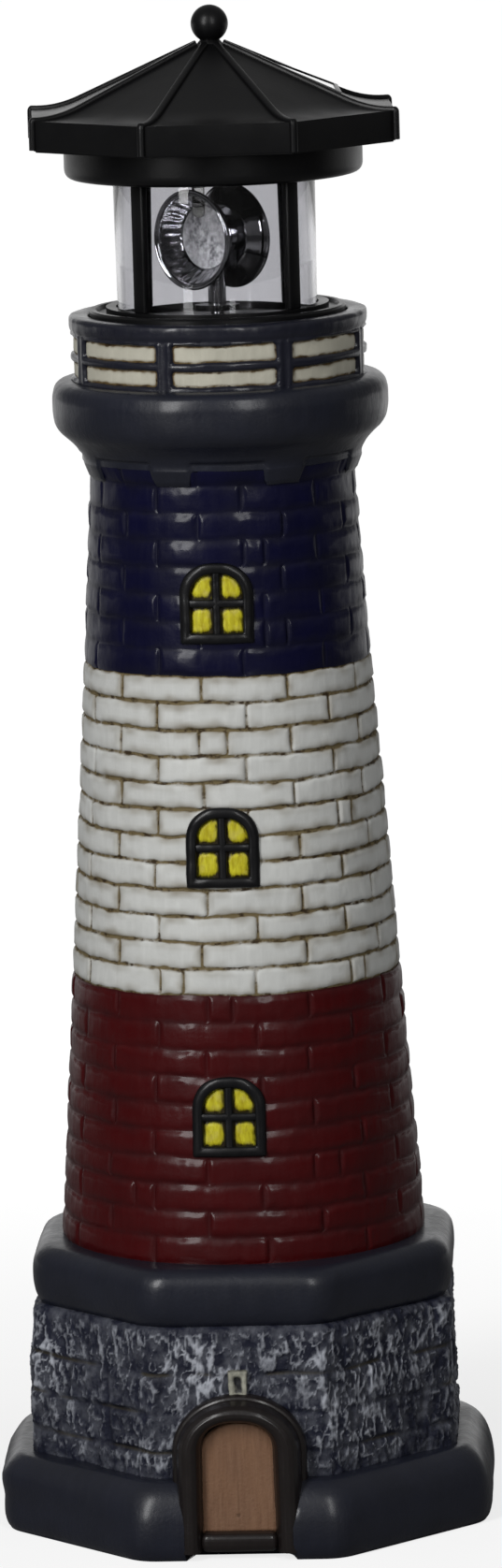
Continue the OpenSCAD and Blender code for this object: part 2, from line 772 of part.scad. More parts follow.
// A small clear lamp that looks down into the bowl through a hole in its upper side
module led() {
    color([0.9, 0.9, 0.85]) translate([0, -led_reach, z_beacon + 7.6]) union() {
        sphere(r = led_r);
        cylinder(r = led_r, h = 6.6);
    }
}
module front_reflector() { rotate([0, 0, beacon_turn]) reflector(); }
module rear_reflector() { rotate([0, 0, beacon_turn + 180]) reflector(); }
module front_led() { rotate([0, 0, beacon_turn]) led(); }
module rear_led() { rotate([0, 0, beacon_turn + 180]) led(); }
module reflector_carrier() {
    color([0.7, 0.7, 0.72]) rotate([0, 0, beacon_turn]) difference() {
        translate([0, carrier_reach, 0]) facing_out() cylinder(r = 5.6, h = 2 * carrier_reach);
        translate([0, 0, z_beacon - 10]) cylinder(r = stem_r, h = 11);
    }
}

// ---- Power ----
battery_r = 7.15;
battery_half = 24.3;
battery_y = -12;
z_battery = z_cup + cover_t + 0.3 + battery_r;
bay = [26.4, 7.7];
bay_wall = 1.2;
bay_top = z_battery + battery_r + 0.2;
hatch_gap = 0.2;
switch_at = [-15.5, 13];
slider_travel = 3;
slot_w = 8;
tongue_w = 10;
tongue_y = battery_y - bay[1] - 5.6;
hatch_screw_y = tongue_y + 2.8;
module bay_box(grow, z0, z1) {
    translate([-bay[0] - grow, battery_y - bay[1] - grow, z0])
        cube([2 * (bay[0] + grow), 2 * (bay[1] + grow), z1 - z0]);
}
module bottom_cover() {
    color(black_abs) difference() {
        union() {
            translate([0, 0, z_cup]) cylinder(r = cup_r, h = cover_t);
            for (dx = [-7.5, 8.5]) translate([switch_at[0] + dx, switch_at[1] + 6, z_cup])
                cylinder(r = 1.5, h = cover_t + 6);
        }
        bay_box(0, z_cup - 1, z_cup + cover_t + 1);
        translate([-tongue_w / 2, tongue_y, z_cup - 1]) cube([tongue_w, 6.4, 2.5]);
        translate([0, hatch_screw_y, z_cup]) cylinder(r = screw_r, h = 5);
        around(boss_angles, boss_reach) translate([0, 0, z_cup - 1]) cylinder(r = screw_hole_r, h = 5);
        translate([switch_at[0] - slot_w / 2, switch_at[1] - 1.8, z_cup - 1])
            cube([slot_w + slider_travel, 3.6, 5]);
    }
}
module battery_hatch() {
    color(black_abs) difference() {
        union() {
            bay_box(-hatch_gap, z_cup, z_cup + 2);
            translate([-tongue_w / 2 + hatch_gap, tongue_y + hatch_gap, z_cup])
                cube([tongue_w - 2 * hatch_gap, 8, 1.3]);
        }
        translate([0, hatch_screw_y, z_cup - 1]) cylinder(r = screw_hole_r, h = 5);
    }
}
module hatch_screw() {
    translate([0, hatch_screw_y, z_cup]) screw(cover_t);
}
module cover_screws() {
    around(boss_angles, boss_reach) translate([0, 0, z_cup]) screw(cover_t + 6);
}
module battery_holder() {
    color(black_abs) difference() {
        intersection() {
            bay_box(bay_wall, z_cup + cover_t, bay_top + bay_wall);
            cylinder(r = cup_r - cup_wall - 0.2, h = z_seat);
        }
        bay_box(0, z_cup, bay_top);
    }
}
module battery() {
    color("green") translate([-battery_half, battery_y, z_battery]) rotate([0, 90, 0]) union() {
        cylinder(r = battery_r, h = 2 * battery_half);
        cylinder(r = 2.6, h = 2 * battery_half + 1.3);
    }
}
module battery_contacts() {
    contact_t = 0.5;
    color(steel) for (side = [0, 1]) mirror([side, 0, 0]) {
        translate([bay[0] - contact_t, battery_y - 5, z_battery - 5]) cube([contact_t, 10, 10]);
        if (side == 1) translate([battery_half, battery_y, z_battery]) rotate([0, 90, 0])
            cylinder(r = 3.2, h = bay[0] - contact_t - battery_half);
    }
}
board_t = 1.6;
z_board = z_cup + cover_t + 6;
module circuit_board() {
    color("darkgreen") translate([switch_at[0] - 10, switch_at[1] - 8, z_board]) union() {
        cube([20, 16, board_t]);
        translate([4, 4, board_t]) cube([5, 4, 1.4]);
        translate([13.5, 8.5, board_t]) cylinder(r = 2.6, h = 5);
        translate([13.5, 3, board_t]) cylinder(r = 1.8, h = 3.4);
    }
}
module switch_body() {
    color(steel) translate([switch_at[0], switch_at[1], z_cup + cover_t]) difference() {
        translate([-6, -3.2, 0]) cube([12 + slider_travel, 6.4, 6]);
        translate([-slot_w / 2, -1.5, -1]) cube([slot_w + slider_travel, 3, 3.2]);
    }
}
module switch_slider() {
    knob = [4, 2.6];
    color("white") translate([switch_at[0] - 3.7, switch_at[1] - knob[1] / 2, z_cup - 0.9])
        cube([knob[0], knob[1], cover_t + 2.8]);
}

plinth();
stone_wall();
keystone();
door_frame();
door();
door_sill();
ledge();
red_band();
white_band();
blue_band();
window_frame(0);  // lower_window_frame
window_frame(1);  // middle_window_frame
window_frame(2);  // upper_window_frame
window_panes(0);  // lower_window_panes
window_panes(1);  // middle_window_panes
window_panes(2);  // upper_window_panes
moulding();
gallery_wall();
railing_panels();
lantern_base();
cage_posts();
lamp_tube();
collar();
soffit();
roof();
finial();
solar_frames();
solar_cells();
gear_plate();
plate_screws();
motor();
motor_pinion();
idler_pin();
idler_gear();
spindle();
spindle_gear();
spindle_bushes();
slip_rings();
contact_brushes();
rotor_hub();
reflector_carrier();
front_reflector();
rear_reflector();
front_led();
rear_led();
bottom_cover();
cover_screws();
battery_holder();
battery();
battery_contacts();
battery_hatch();
hatch_screw();
circuit_board();
switch_body();
switch_slider();
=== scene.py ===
import bisect
import math
import random

import bmesh
import bpy
from mathutils import Matrix, Vector, noise


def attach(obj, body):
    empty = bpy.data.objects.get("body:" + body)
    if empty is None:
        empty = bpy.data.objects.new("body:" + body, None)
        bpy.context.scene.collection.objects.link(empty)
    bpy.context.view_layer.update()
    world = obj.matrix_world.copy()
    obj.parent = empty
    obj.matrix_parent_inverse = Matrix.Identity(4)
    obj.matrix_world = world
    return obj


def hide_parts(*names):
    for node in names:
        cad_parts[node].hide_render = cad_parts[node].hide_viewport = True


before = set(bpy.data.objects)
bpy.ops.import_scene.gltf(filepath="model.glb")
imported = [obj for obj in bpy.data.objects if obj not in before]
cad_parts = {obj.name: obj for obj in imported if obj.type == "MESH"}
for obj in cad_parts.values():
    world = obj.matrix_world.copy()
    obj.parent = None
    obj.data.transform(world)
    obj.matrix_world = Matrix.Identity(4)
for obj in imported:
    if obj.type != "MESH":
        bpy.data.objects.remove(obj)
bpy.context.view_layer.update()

# Lengths are in millimetres while a piece is made, and metres once it is a piece.
MM = 0.001


# ---- Numbers of the tower, as in the part's source ----

base_turn = -3.0
window_turn = -4.0
z_wall = 23.0
z_ledge = 68.5
z_red = 85.5
z_white = 165.7
z_blue = 260.4
z_tabs = 316.5
z_cove = 321.0
z_gallery = 345.0
z_collar = 404.7
z_fascia = 414.6
z_apex = 443.6
z_beacon = 386.0
shaft_wall = 4.5


def smooth_step(low, high, x):
    t = min(1.0, max(0.0, (x - low) / (high - low)))
    return t * t * (3.0 - 2.0 * t)


def mix(a, b, t):
    return a + (b - a) * t


def along(table, x):
    """The value at x in a table of (x, value) pairs, straight between them."""
    if x <= table[0][0]:
        return table[0][1]
    for (x0, v0), (x1, v1) in zip(table, table[1:]):
        if x <= x1:
            return mix(v0, v1, (x - x0) / (x1 - x0))
    return table[-1][1]


def shaft_r(z):
    return along([(z_red, 55.0), (z_white, 49.4), (z_blue, 43.0), (z_tabs - 2, 39.7),
                  (z_tabs, 39.8), (z_cove, 41.6)], z)


def lumps(point, size, seed=0.0):
    """Soft unevenness from -1 to 1 with the given spacing in millimetres."""
    x, y, z = point[0] / size, point[1] / size, point[2] / size
    return noise.noise(Vector((x + seed, y - seed, z + seed * 0.7)))


def reach_of(point):
    """Distance of a point from the tower's axis."""
    return math.hypot(point[0], point[1])


def direction(point):
    """Direction of a point round the tower's axis, in degrees."""
    return math.degrees(math.atan2(point[1], point[0]))


def push_out(vert, by):
    """Moves a point away from the tower's axis."""
    scale = 1.0 + by / reach_of(vert.co)
    vert.co.x *= scale
    vert.co.y *= scale


# ---- Making pieces ----

def make_piece(bm, name, material, body, stands_for=(), crease=35.0):
    """Turns a bmesh in millimetres into a piece that rides on a body."""
    bmesh.ops.scale(bm, vec=(MM, MM, MM), verts=bm.verts)
    limit = math.radians(crease)
    for face in bm.faces:
        face.smooth = True
    for edge in bm.edges:
        edge.smooth = edge.calc_face_angle(0.0) < limit
    mesh = bpy.data.meshes.new(name)
    bm.to_mesh(mesh)
    bm.free()
    mesh.materials.append(material)
    piece = bpy.data.objects.new(name, mesh)
    bpy.context.scene.collection.objects.link(piece)
    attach(piece, body)
    if stands_for:
        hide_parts(*stands_for)
    return piece


def close_up(bm):
    bmesh.ops.remove_doubles(bm, verts=bm.verts, dist=0.002)
    bmesh.ops.recalc_face_normals(bm, faces=bm.faces)


def lathe(outline, steps, closed=True, bm=None):
    """An outline of (radius, height) points turned round the Z axis."""
    bm = bm or bmesh.new()
    points = [bm.verts.new((r, 0.0, z)) for r, z in outline]
    pairs = list(zip(points, points[1:]))
    if closed:
        pairs.append((points[-1], points[0]))
    edges = [bm.edges.new(pair) for pair in pairs]
    bmesh.ops.spin(bm, geom=points + edges, cent=(0, 0, 0), axis=(0, 0, 1),
                   angle=2 * math.pi, steps=steps, use_merge=True)
    close_up(bm)
    return bm


def shaped_grid(bm, across, up, place):
    """A grid of cells whose corners go to place(u, v), with u and v from 0 to 1."""
    made = bmesh.ops.create_grid(bm, x_segments=across, y_segments=up, size=0.5)
    for vert in made["verts"]:
        vert.co = place(vert.co.x + 0.5, vert.co.y + 0.5)
    return made["verts"]


def rod(bm, along_steps, round_steps, place, capped=True):
    """A closed tube: place(u, w) gives the point at share u of its length and w of its girth."""
    verts = shaped_grid(bm, along_steps, round_steps, lambda u, v: place(u, v % 1.0))
    bmesh.ops.remove_doubles(bm, verts=verts, dist=0.002)
    if capped:
        bmesh.ops.holes_fill(bm, edges=[e for e in bm.edges if e.is_boundary], sides=0)


def block(bm, centre, size, round_off, turn=0.0, segments=3):
    """A box with rounded edges."""
    made = bmesh.ops.create_cube(bm, size=1.0)["verts"]
    bmesh.ops.scale(bm, vec=size, verts=made)
    edges = list({e for v in made for e in v.link_edges})
    made = bmesh.ops.bevel(bm, geom=edges, offset=round_off, segments=segments, affect="EDGES",
                           profile=0.5, material=-1)["verts"]
    made = list(set(made))
    bmesh.ops.translate(bm, vec=centre, verts=made)
    bmesh.ops.rotate(bm, cent=(0, 0, 0), matrix=Matrix.Rotation(math.radians(turn), 3, "Z"),
                     verts=made)
    return made


def turned(angle, x, y, z):
    """A point turned about the tower's axis by an angle in degrees."""
    a = math.radians(angle)
    return Vector((x * math.cos(a) - y * math.sin(a), x * math.sin(a) + y * math.cos(a), z))


# ---- Nodes ----

def linear(r, g, b):
    """A colour on the usual 0 to 255 scale as Blender's linear values."""
    def one(c):
        c /= 255.0
        return c / 12.92 if c <= 0.04045 else ((c + 0.055) / 1.055) ** 2.4
    return (one(r), one(g), one(b), 1.0)


def put(tree, kind, inputs=None, **settings):
    """Adds a node; an input is a plain value or another node's output."""
    node = tree.nodes.new(kind)
    for key, value in settings.items():
        setattr(node, key, value)
    for key, value in (inputs or {}).items():
        if isinstance(value, bpy.types.NodeSocket):
            tree.links.new(value, node.inputs[key])
        else:
            node.inputs[key].default_value = value
    return node


def blend_colours(tree, share, a, b):
    """The first colour, going over to the second as the share rises to 1."""
    return put(tree, "ShaderNodeMix", {0: share, 6: a, 7: b}, data_type="RGBA",
               clamp_factor=True).outputs[2]


def toned(tree, colour, value, saturation=1.0):
    """A colour made darker or paler."""
    return put(tree, "ShaderNodeHueSaturation", {"Value": value, "Saturation": saturation,
                                                 "Color": colour}).outputs[0]


def sums(tree, way, a, b, clamp=False):
    return put(tree, "ShaderNodeMath", {0: a, 1: b}, operation=way, use_clamp=clamp).outputs[0]


def plus(tree, a, b, clamp=False):
    return sums(tree, "ADD", a, b, clamp)


def times(tree, a, b, clamp=False):
    return sums(tree, "MULTIPLY", a, b, clamp)


def larger(tree, a, b):
    return sums(tree, "MAXIMUM", a, b)


def stretch(tree, value, low, high, to_low=0.0, to_high=1.0):
    return put(tree, "ShaderNodeMapRange", {"Value": value, "From Min": low, "From Max": high,
                                            "To Min": to_low, "To Max": to_high}).outputs[0]


def spots(tree, size, detail=2.0, rough=0.5, stretch_by=(1, 1, 1), warp=0.0):
    """Noise whose patches are about the given size in millimetres."""
    where = put(tree, "ShaderNodeTexCoord").outputs["Object"]
    where = put(tree, "ShaderNodeMapping", {"Vector": where, "Scale": stretch_by}).outputs[0]
    return put(tree, "ShaderNodeTexNoise", {"Vector": where, "Scale": 1000.0 / size, "Detail": detail,
                                            "Roughness": rough, "Distortion": warp}).outputs["Fac"]


def group(name, inputs, outputs):
    """A new node group with named inputs (kind, name, value) and outputs (kind, name)."""
    tree = bpy.data.node_groups.new(name, "ShaderNodeTree")
    for kind, label, value in inputs:
        socket = tree.interface.new_socket(label, in_out="INPUT", socket_type="NodeSocket" + kind)
        socket.default_value = value
    for kind, label in outputs:
        tree.interface.new_socket(label, in_out="OUTPUT", socket_type="NodeSocket" + kind)
    into = tree.nodes.new("NodeGroupInput")
    out = tree.nodes.new("NodeGroupOutput")
    return tree, into.outputs, out.inputs


def uneven_paint_group():
    """Hand-laid paint: cloudy tone, fine brush lines, small pits and runs."""
    tree, take, give = group(
        "uneven_paint",
        [("Color", "Color", (0.5, 0.5, 0.5, 1)), ("Float", "Cloud", 0.2), ("Float", "Brush", 0.1),
         ("Float", "Gloss", 0.4)],
        [("Color", "Color"), ("Float", "Roughness"), ("Float", "Height")])
    cloud = spots(tree, 14.0, 3.0, 0.55)
    brush = spots(tree, 2.2, 3.0, 0.6, (1.0, 1.0, 0.16), 0.3)
    pits = spots(tree, 1.1, 2.0, 0.5)
    dark = toned(tree, take["Color"], 0.45)
    pale = toned(tree, take["Color"], 1.45, 0.9)
    share = times(tree, stretch(tree, cloud, 0.35, 0.7), take["Cloud"])
    tone = blend_colours(tree, share, take["Color"], dark)
    share = times(tree, stretch(tree, brush, 0.45, 0.8), take["Brush"])
    tree.links.new(blend_colours(tree, share, tone, pale), give["Color"])
    rough = plus(tree, take["Gloss"], stretch(tree, cloud, 0.3, 0.7, -0.06, 0.08))
    tree.links.new(plus(tree, rough, stretch(tree, brush, 0.3, 0.7, -0.04, 0.06)), give["Roughness"])
    height = plus(tree, cloud, times(tree, brush, 0.35))
    tree.links.new(plus(tree, height, times(tree, pits, 0.25)), give["Height"])
    return tree


def stain_group():
    """A broken mask of grime that has run into low places."""
    tree, take, give = group(
        "settled_stain",
        [("Float", "Place", 0.0), ("Float", "Line", 0.6), ("Float", "Wash", 0.3)],
        [("Float", "Mask"), ("Float", "Spots")])
    broken = spots(tree, 2.6, 3.0, 0.65)
    wide = spots(tree, 11.0, 2.0, 0.5)
    line = stretch(tree, take["Place"], 0.45, 0.95)
    line = times(tree, line, stretch(tree, broken, 0.25, 0.62, 0.35, 1.0))
    line = times(tree, line, take["Line"])
    wash = times(tree, stretch(tree, take["Place"], 0.0, 0.5), stretch(tree, wide, 0.35, 0.7))
    wash = times(tree, wash, take["Wash"])
    tree.links.new(plus(tree, line, wash, True), give["Mask"])
    spotty = spots(tree, 3.4, 3.0, 0.7, (1.0, 1.0, 1.6))
    dark = times(tree, stretch(tree, take["Place"], 0.5, 0.85), stretch(tree, spotty, 0.5, 0.62))
    tree.links.new(dark, give["Spots"])
    return tree


def moulded_group():
    """Moulded plastic: a faint orange-peel surface and hazy patches."""
    tree, take, give = group(
        "moulded_surface",
        [("Color", "Color", (0.02, 0.02, 0.02, 1)), ("Float", "Gloss", 0.35), ("Float", "Haze", 0.1)],
        [("Color", "Color"), ("Float", "Roughness"), ("Float", "Height")])
    peel = spots(tree, 0.9, 2.0, 0.5)
    haze = spots(tree, 18.0, 3.0, 0.6)
    dust = spots(tree, 0.5, 2.0, 0.7)
    pale = toned(tree, take["Color"], 2.0, 0.8)
    share = times(tree, stretch(tree, haze, 0.35, 0.75), take["Haze"])
    tone = blend_colours(tree, share, take["Color"], pale)
    share = times(tree, stretch(tree, dust, 0.66, 0.8), take["Haze"])
    tree.links.new(blend_colours(tree, share, tone, pale), give["Color"])
    tree.links.new(plus(tree, take["Gloss"], stretch(tree, haze, 0.3, 0.7, -0.05, 0.07)), give["Roughness"])
    tree.links.new(peel, give["Height"])
    return tree


def metal_group():
    """Worked metal: fine lines and slight tarnish."""
    tree, take, give = group(
        "worked_metal",
        [("Color", "Color", (0.6, 0.6, 0.6, 1)), ("Float", "Gloss", 0.25), ("Float", "Tarnish", 0.2)],
        [("Color", "Color"), ("Float", "Roughness"), ("Float", "Height")])
    lines = spots(tree, 0.7, 3.0, 0.6, (1.0, 1.0, 0.08))
    cloud = spots(tree, 6.0, 3.0, 0.6)
    dark = toned(tree, take["Color"], 0.6)
    share = times(tree, stretch(tree, cloud, 0.4, 0.75), take["Tarnish"])
    tree.links.new(blend_colours(tree, share, take["Color"], dark), give["Color"])
    tree.links.new(plus(tree, take["Gloss"], stretch(tree, lines, 0.3, 0.7, -0.06, 0.1)), give["Roughness"])
    tree.links.new(lines, give["Height"])
    return tree


uneven_paint = uneven_paint_group()
settled_stain = stain_group()
moulded_surface = moulded_group()
worked_metal = metal_group()


def new_material(name):
    """A material with one Principled shader, its node tree and that shader."""
    material = bpy.data.materials.new(name)
    material.use_nodes = True
    tree = material.node_tree
    tree.nodes.clear()
    out = tree.nodes.new("ShaderNodeOutputMaterial")
    shader = tree.nodes.new("ShaderNodeBsdfPrincipled")
    tree.links.new(shader.outputs[0], out.inputs[0])
    return material, tree, shader


def use_group(tree, which, **inputs):
    node = tree.nodes.new("ShaderNodeGroup")
    node.node_tree = which
    for key, value in inputs.items():
        if isinstance(value, bpy.types.NodeSocket):
            tree.links.new(value, node.inputs[key])
        else:
            node.inputs[key].default_value = value
    return node.outputs


def finish_with(tree, shader, colour, rough, height, depth_mm, specular, coat=0.0, coat_rough=0.1):
    """Feeds a shader its colour, roughness and bump, and sets its constant sheen."""
    tree.links.new(colour, shader.inputs["Base Color"])
    tree.links.new(rough, shader.inputs["Roughness"])
    bump = put(tree, "ShaderNodeBump", {"Height": height, "Strength": 1.0, "Distance": depth_mm * MM})
    tree.links.new(bump.outputs[0], shader.inputs["Normal"])
    shader.inputs["Specular IOR Level"].default_value = specular
    shader.inputs["Coat Weight"].default_value = coat
    shader.inputs["Coat Roughness"].default_value = coat_rough


def measure(tree, name):
    """A value stored on the piece's points."""
    return put(tree, "ShaderNodeAttribute", attribute_name=name).outputs["Fac"]


def painted(name, colour, gloss, cloud=0.2, brush=0.1, depth_mm=0.12, specular=0.2, coat=0.0,
            coat_rough=0.16, stain=None, line=0.0, wash=0.0, spot_stain=None):
    """A painted casting, with stain in the low places that the piece's "joint" value marks."""
    material, tree, shader = new_material(name)
    paint = use_group(tree, uneven_paint, Color=colour, Cloud=cloud, Brush=brush, Gloss=gloss)
    tone = paint["Color"]
    rough = paint["Roughness"]
    if stain:
        settled = use_group(tree, settled_stain, Place=measure(tree, "joint"), Line=line, Wash=wash)
        tone = blend_colours(tree, settled["Mask"], tone, stain)
        rough = plus(tree, rough, times(tree, settled["Mask"], 0.25), True)
        if spot_stain:
            tone = blend_colours(tree, settled["Spots"], tone, spot_stain)
    finish_with(tree, shader, tone, rough, paint["Height"], depth_mm, specular, coat, coat_rough)
    return material


def moulded(name, colour, gloss, haze, specular, depth_mm=0.02):
    """Moulded plastic in one colour."""
    material, tree, shader = new_material(name)
    surface = use_group(tree, moulded_surface, Color=colour, Gloss=gloss, Haze=haze)
    finish_with(tree, shader, surface["Color"], surface["Roughness"], surface["Height"], depth_mm, specular)
    return material


def metal(name, colour, gloss, tarnish):
    """Plain worked metal."""
    material, tree, shader = new_material(name)
    surface = use_group(tree, worked_metal, Color=colour, Gloss=gloss, Tarnish=tarnish)
    finish_with(tree, shader, surface["Color"], surface["Roughness"], surface["Height"], 0.01, 0.5)
    shader.inputs["Metallic"].default_value = 1.0
    return material


def plated(name, colour):
    """Bright chrome plate with faint clouds of tarnish and wiping marks."""
    material, tree, shader = new_material(name)
    cloud = spots(tree, 7.0, 3.0, 0.6)
    wiped = spots(tree, 3.0, 2.0, 0.5, (1.0, 1.0, 0.4))
    dull = tuple(c * 0.72 for c in colour[:3]) + (1.0,)
    tone = blend_colours(tree, stretch(tree, cloud, 0.4, 0.75, 0.0, 0.6), colour, dull)
    swell = spots(tree, 9.0, 1.0, 0.5)
    finish_with(tree, shader, tone, stretch(tree, wiped, 0.3, 0.7, 0.04, 0.13), swell, 0.06, 0.5)
    shader.inputs["Metallic"].default_value = 1.0
    return material


def stone_finish(name, dark, pale, amount):
    """Rough stone: dark paint with pale colour dragged over whatever stands high."""
    material, tree, shader = new_material(name)
    paint = use_group(tree, uneven_paint, Color=dark, Cloud=0.45, Brush=0.15, Gloss=0.48)
    fine = spots(tree, 1.3, 3.0, 0.65, (1.0, 1.0, 0.6))
    high = plus(tree, measure(tree, "high"), stretch(tree, fine, 0.3, 0.7, -0.16, 0.16))
    share = stretch(tree, high, 0.12, 0.95)
    haze = times(tree, stretch(tree, spots(tree, 5.0, 3.0, 0.6), 0.42, 0.7), 0.16)
    share = times(tree, plus(tree, share, haze), amount, True)
    tone = blend_colours(tree, share, paint["Color"], pale)
    mask = use_group(tree, settled_stain, Place=measure(tree, "joint"), Line=0.6, Wash=0.3)["Mask"]
    tone = blend_colours(tree, mask, tone, linear(50, 45, 32))
    rough = plus(tree, paint["Roughness"], times(tree, share, 0.15))
    grain = plus(tree, fine, times(tree, paint["Height"], 0.3))
    finish_with(tree, shader, tone, rough, grain, 0.4, 0.15)
    return material


def pane_finish():
    """Yellow paint dabbed into the pane, thin and dark towards its edges, with streaks."""
    material, tree, shader = new_material("pane_yellow")
    streaks = spots(tree, 1.3, 3.0, 0.6, (1.0, 1.0, 0.35), 0.5)
    blots = spots(tree, 3.2, 2.0, 0.5)
    bright = blend_colours(tree, stretch(tree, streaks, 0.3, 0.7), linear(152, 138, 16),
                           linear(192, 186, 42))
    bright = blend_colours(tree, stretch(tree, blots, 0.5, 0.75, 0.0, 0.55), bright, linear(184, 174, 92))
    edge = plus(tree, measure(tree, "edge"), stretch(tree, streaks, 0.3, 0.7, -0.2, 0.2))
    tone = blend_colours(tree, stretch(tree, edge, 0.1, 0.65), linear(34, 26, 8), bright)
    shade = plus(tree, streaks, times(tree, blots, 0.6))
    finish_with(tree, shader, tone, stretch(tree, blots, 0.3, 0.7, 0.35, 0.5), shade, 0.12, 0.2)
    return material


def door_finish():
    """Painted wood-grain casting: fine upright grain in two browns."""
    material, tree, shader = new_material("door_paint")
    grain = spots(tree, 1.1, 4.0, 0.6, (1.0, 1.0, 0.08), 0.25)
    broad = spots(tree, 6.0, 2.0, 0.5, (1.0, 1.0, 0.4))
    fleck = spots(tree, 0.9, 3.0, 0.6)
    tone = blend_colours(tree, stretch(tree, grain, 0.3, 0.72), linear(106, 78, 60), linear(120, 91, 71))
    tone = blend_colours(tree, stretch(tree, broad, 0.4, 0.7, 0.0, 0.4), tone, linear(124, 92, 68))
    tone = blend_colours(tree, stretch(tree, fleck, 0.55, 0.75, 0.0, 0.35), tone, linear(96, 70, 54))
    mask = use_group(tree, settled_stain, Place=measure(tree, "joint"), Line=0.8, Wash=0.3)["Mask"]
    tone = blend_colours(tree, mask, tone, linear(52, 36, 26))
    rough = stretch(tree, grain, 0.3, 0.7, 0.45, 0.6)
    finish_with(tree, shader, tone, rough, plus(tree, grain, fleck), 0.16, 0.2)
    return material


def clear_finish(name, colour, gloss):
    """Clear moulded plastic with faint flow lines."""
    material, tree, shader = new_material(name)
    flow = spots(tree, 9.0, 2.0, 0.5, (1.0, 1.0, 0.2))
    tint = blend_colours(tree, stretch(tree, flow, 0.35, 0.7, 0.0, 0.5), colour,
                         tuple(c * 0.92 for c in colour[:3]) + (1.0,))
    tree.links.new(tint, shader.inputs["Base Color"])
    tree.links.new(stretch(tree, flow, 0.3, 0.7, gloss, gloss + 0.03), shader.inputs["Roughness"])
    shader.inputs["Transmission Weight"].default_value = 1.0
    shader.inputs["IOR"].default_value = 1.3
    # Lamp light reaches what stands inside
    shadow = tree.nodes.new("ShaderNodeLightPath").outputs["Is Shadow Ray"]
    tree.links.new(stretch(tree, shadow, 0.0, 1.0, 1.0, 0.12), shader.inputs["Alpha"])
    return material


def lens_finish():
    """Milky lens with painted glints: fine noise paints each little facet lighter or darker, as if it
    caught more or less light, over broad patches of a middle grey.
    """
    material, tree, shader = new_material("frosted_lens")
    facets_and_glints = spots(tree, 1.7, 2.0, 0.6)
    broad = spots(tree, 7.0, 1.0, 0.5)
    dull, bright, middle = linear(118, 118, 122), linear(214, 214, 216), linear(196, 196, 198)
    # Painted light: the fine noise swings the lens colour from a dull grey to a bright one, like glints on
    # facets
    tone = blend_colours(tree, stretch(tree, facets_and_glints, 0.36, 0.64), dull, bright)
    tone = blend_colours(tree, stretch(tree, broad, 0.4, 0.65, 0.0, 0.6), tone, middle)
    finish_with(tree, shader, tone, stretch(tree, facets_and_glints, 0.3, 0.7, 0.14, 0.3), facets_and_glints, 0.15, 0.5)
    return material


def cell_finish():
    """Dark solar cells with thin pale contact lines under clear resin."""
    material, tree, shader = new_material("solar_glass")
    where = put(tree, "ShaderNodeTexCoord").outputs["Object"]
    crystal = put(tree, "ShaderNodeTexVoronoi", {"Vector": where, "Scale": 160.0}).outputs["Color"]
    depth = put(tree, "ShaderNodeSeparateColor", {"Color": crystal}).outputs[0]
    dark, blue, silver = linear(14, 16, 34), linear(24, 28, 58), linear(120, 124, 130)
    tone = blend_colours(tree, stretch(tree, depth, 0.0, 1.0, 0.0, 0.8), dark, blue)
    lines = put(tree, "ShaderNodeTexWave", {"Vector": where, "Scale": 60.0, "Distortion": 0.0},
                bands_direction="Z").outputs["Fac"]
    tone = blend_colours(tree, stretch(tree, lines, 0.93, 0.99), tone, silver)
    rough = stretch(tree, depth, 0.0, 1.0, 0.06, 0.12)
    finish_with(tree, shader, tone, rough, depth, 0.002, 0.5, 1.0, 0.02)
    return material


slate_paint = painted("slate_paint", linear(25, 27, 37), 0.38, 0.5, 0.12, 0.3, 0.2, coat=0.3,
                      coat_rough=0.24)
gallery_paint = painted("gallery_paint", linear(23, 24, 34), 0.34, 0.35, 0.15, 0.34, 0.2, coat=0.28)
red_paint = painted("red_paint", linear(60, 5, 7), 0.36, 0.3, 0.12, 0.22, 0.1, coat=0.18,
                    stain=linear(34, 6, 8), line=0.3, wash=0.35)
white_paint = painted("white_paint", linear(186, 187, 184), 0.5, 0.1, 0.2, 0.2, 0.2,
                      stain=linear(98, 86, 60), line=1.0, wash=0.8, spot_stain=linear(48, 36, 20))
navy_paint = painted("navy_paint", linear(9, 9, 38), 0.34, 0.5, 0.12, 0.2, 0.1, coat=0.18,
                     stain=linear(9, 9, 20), line=0.3, wash=0.4)
window_black = painted("window_black", linear(11, 11, 13), 0.36, 0.3, 0.1, 0.15, 0.16, coat=0.15)
cream_paint = painted("cream_paint", linear(172, 169, 155), 0.55, 0.25, 0.25, 0.25, 0.2,
                      stain=linear(84, 68, 40), line=0.95, wash=0.7, spot_stain=linear(52, 38, 20))
frame_brown = painted("door_frame_paint", linear(24, 19, 18), 0.38, 0.4, 0.2, 0.25, 0.22, coat=0.3)
stone_paint = stone_finish("stone_paint", linear(29, 31, 44), linear(158, 161, 169), 0.98)
key_paint = stone_finish("keystone_paint", linear(40, 40, 42), linear(156, 155, 142), 1.0)
pane_yellow = pane_finish()
door_paint = door_finish()
black_plastic = moulded("black_plastic", linear(10, 10, 11), 0.33, 0.12, 0.19)
inner_plastic = moulded("inner_plastic", linear(20, 20, 22), 0.5, 0.2, 0.2, 0.05)
gear_plastic = moulded("gear_plastic", linear(205, 203, 190), 0.42, 0.1, 0.3)
switch_white = moulded("switch_white", linear(225, 225, 220), 0.4, 0.1, 0.3)
board_green = moulded("board_green", linear(26, 92, 48), 0.25, 0.25, 0.4)
battery_wrap = moulded("battery_wrap", linear(30, 110, 52), 0.22, 0.15, 0.4)
frosted = lens_finish()
chrome_plate = plated("chrome_plate", linear(205, 205, 208))
bright_steel = metal("bright_steel", linear(165, 166, 170), 0.28, 0.25)
brass = metal("brass", linear(190, 150, 78), 0.26, 0.3)
clear_plastic = clear_finish("clear_plastic", linear(214, 214, 217), 0.02)
led_clear = clear_finish("led_clear", linear(232, 232, 226), 0.05)
solar_glass = cell_finish()


# ---- Base ----

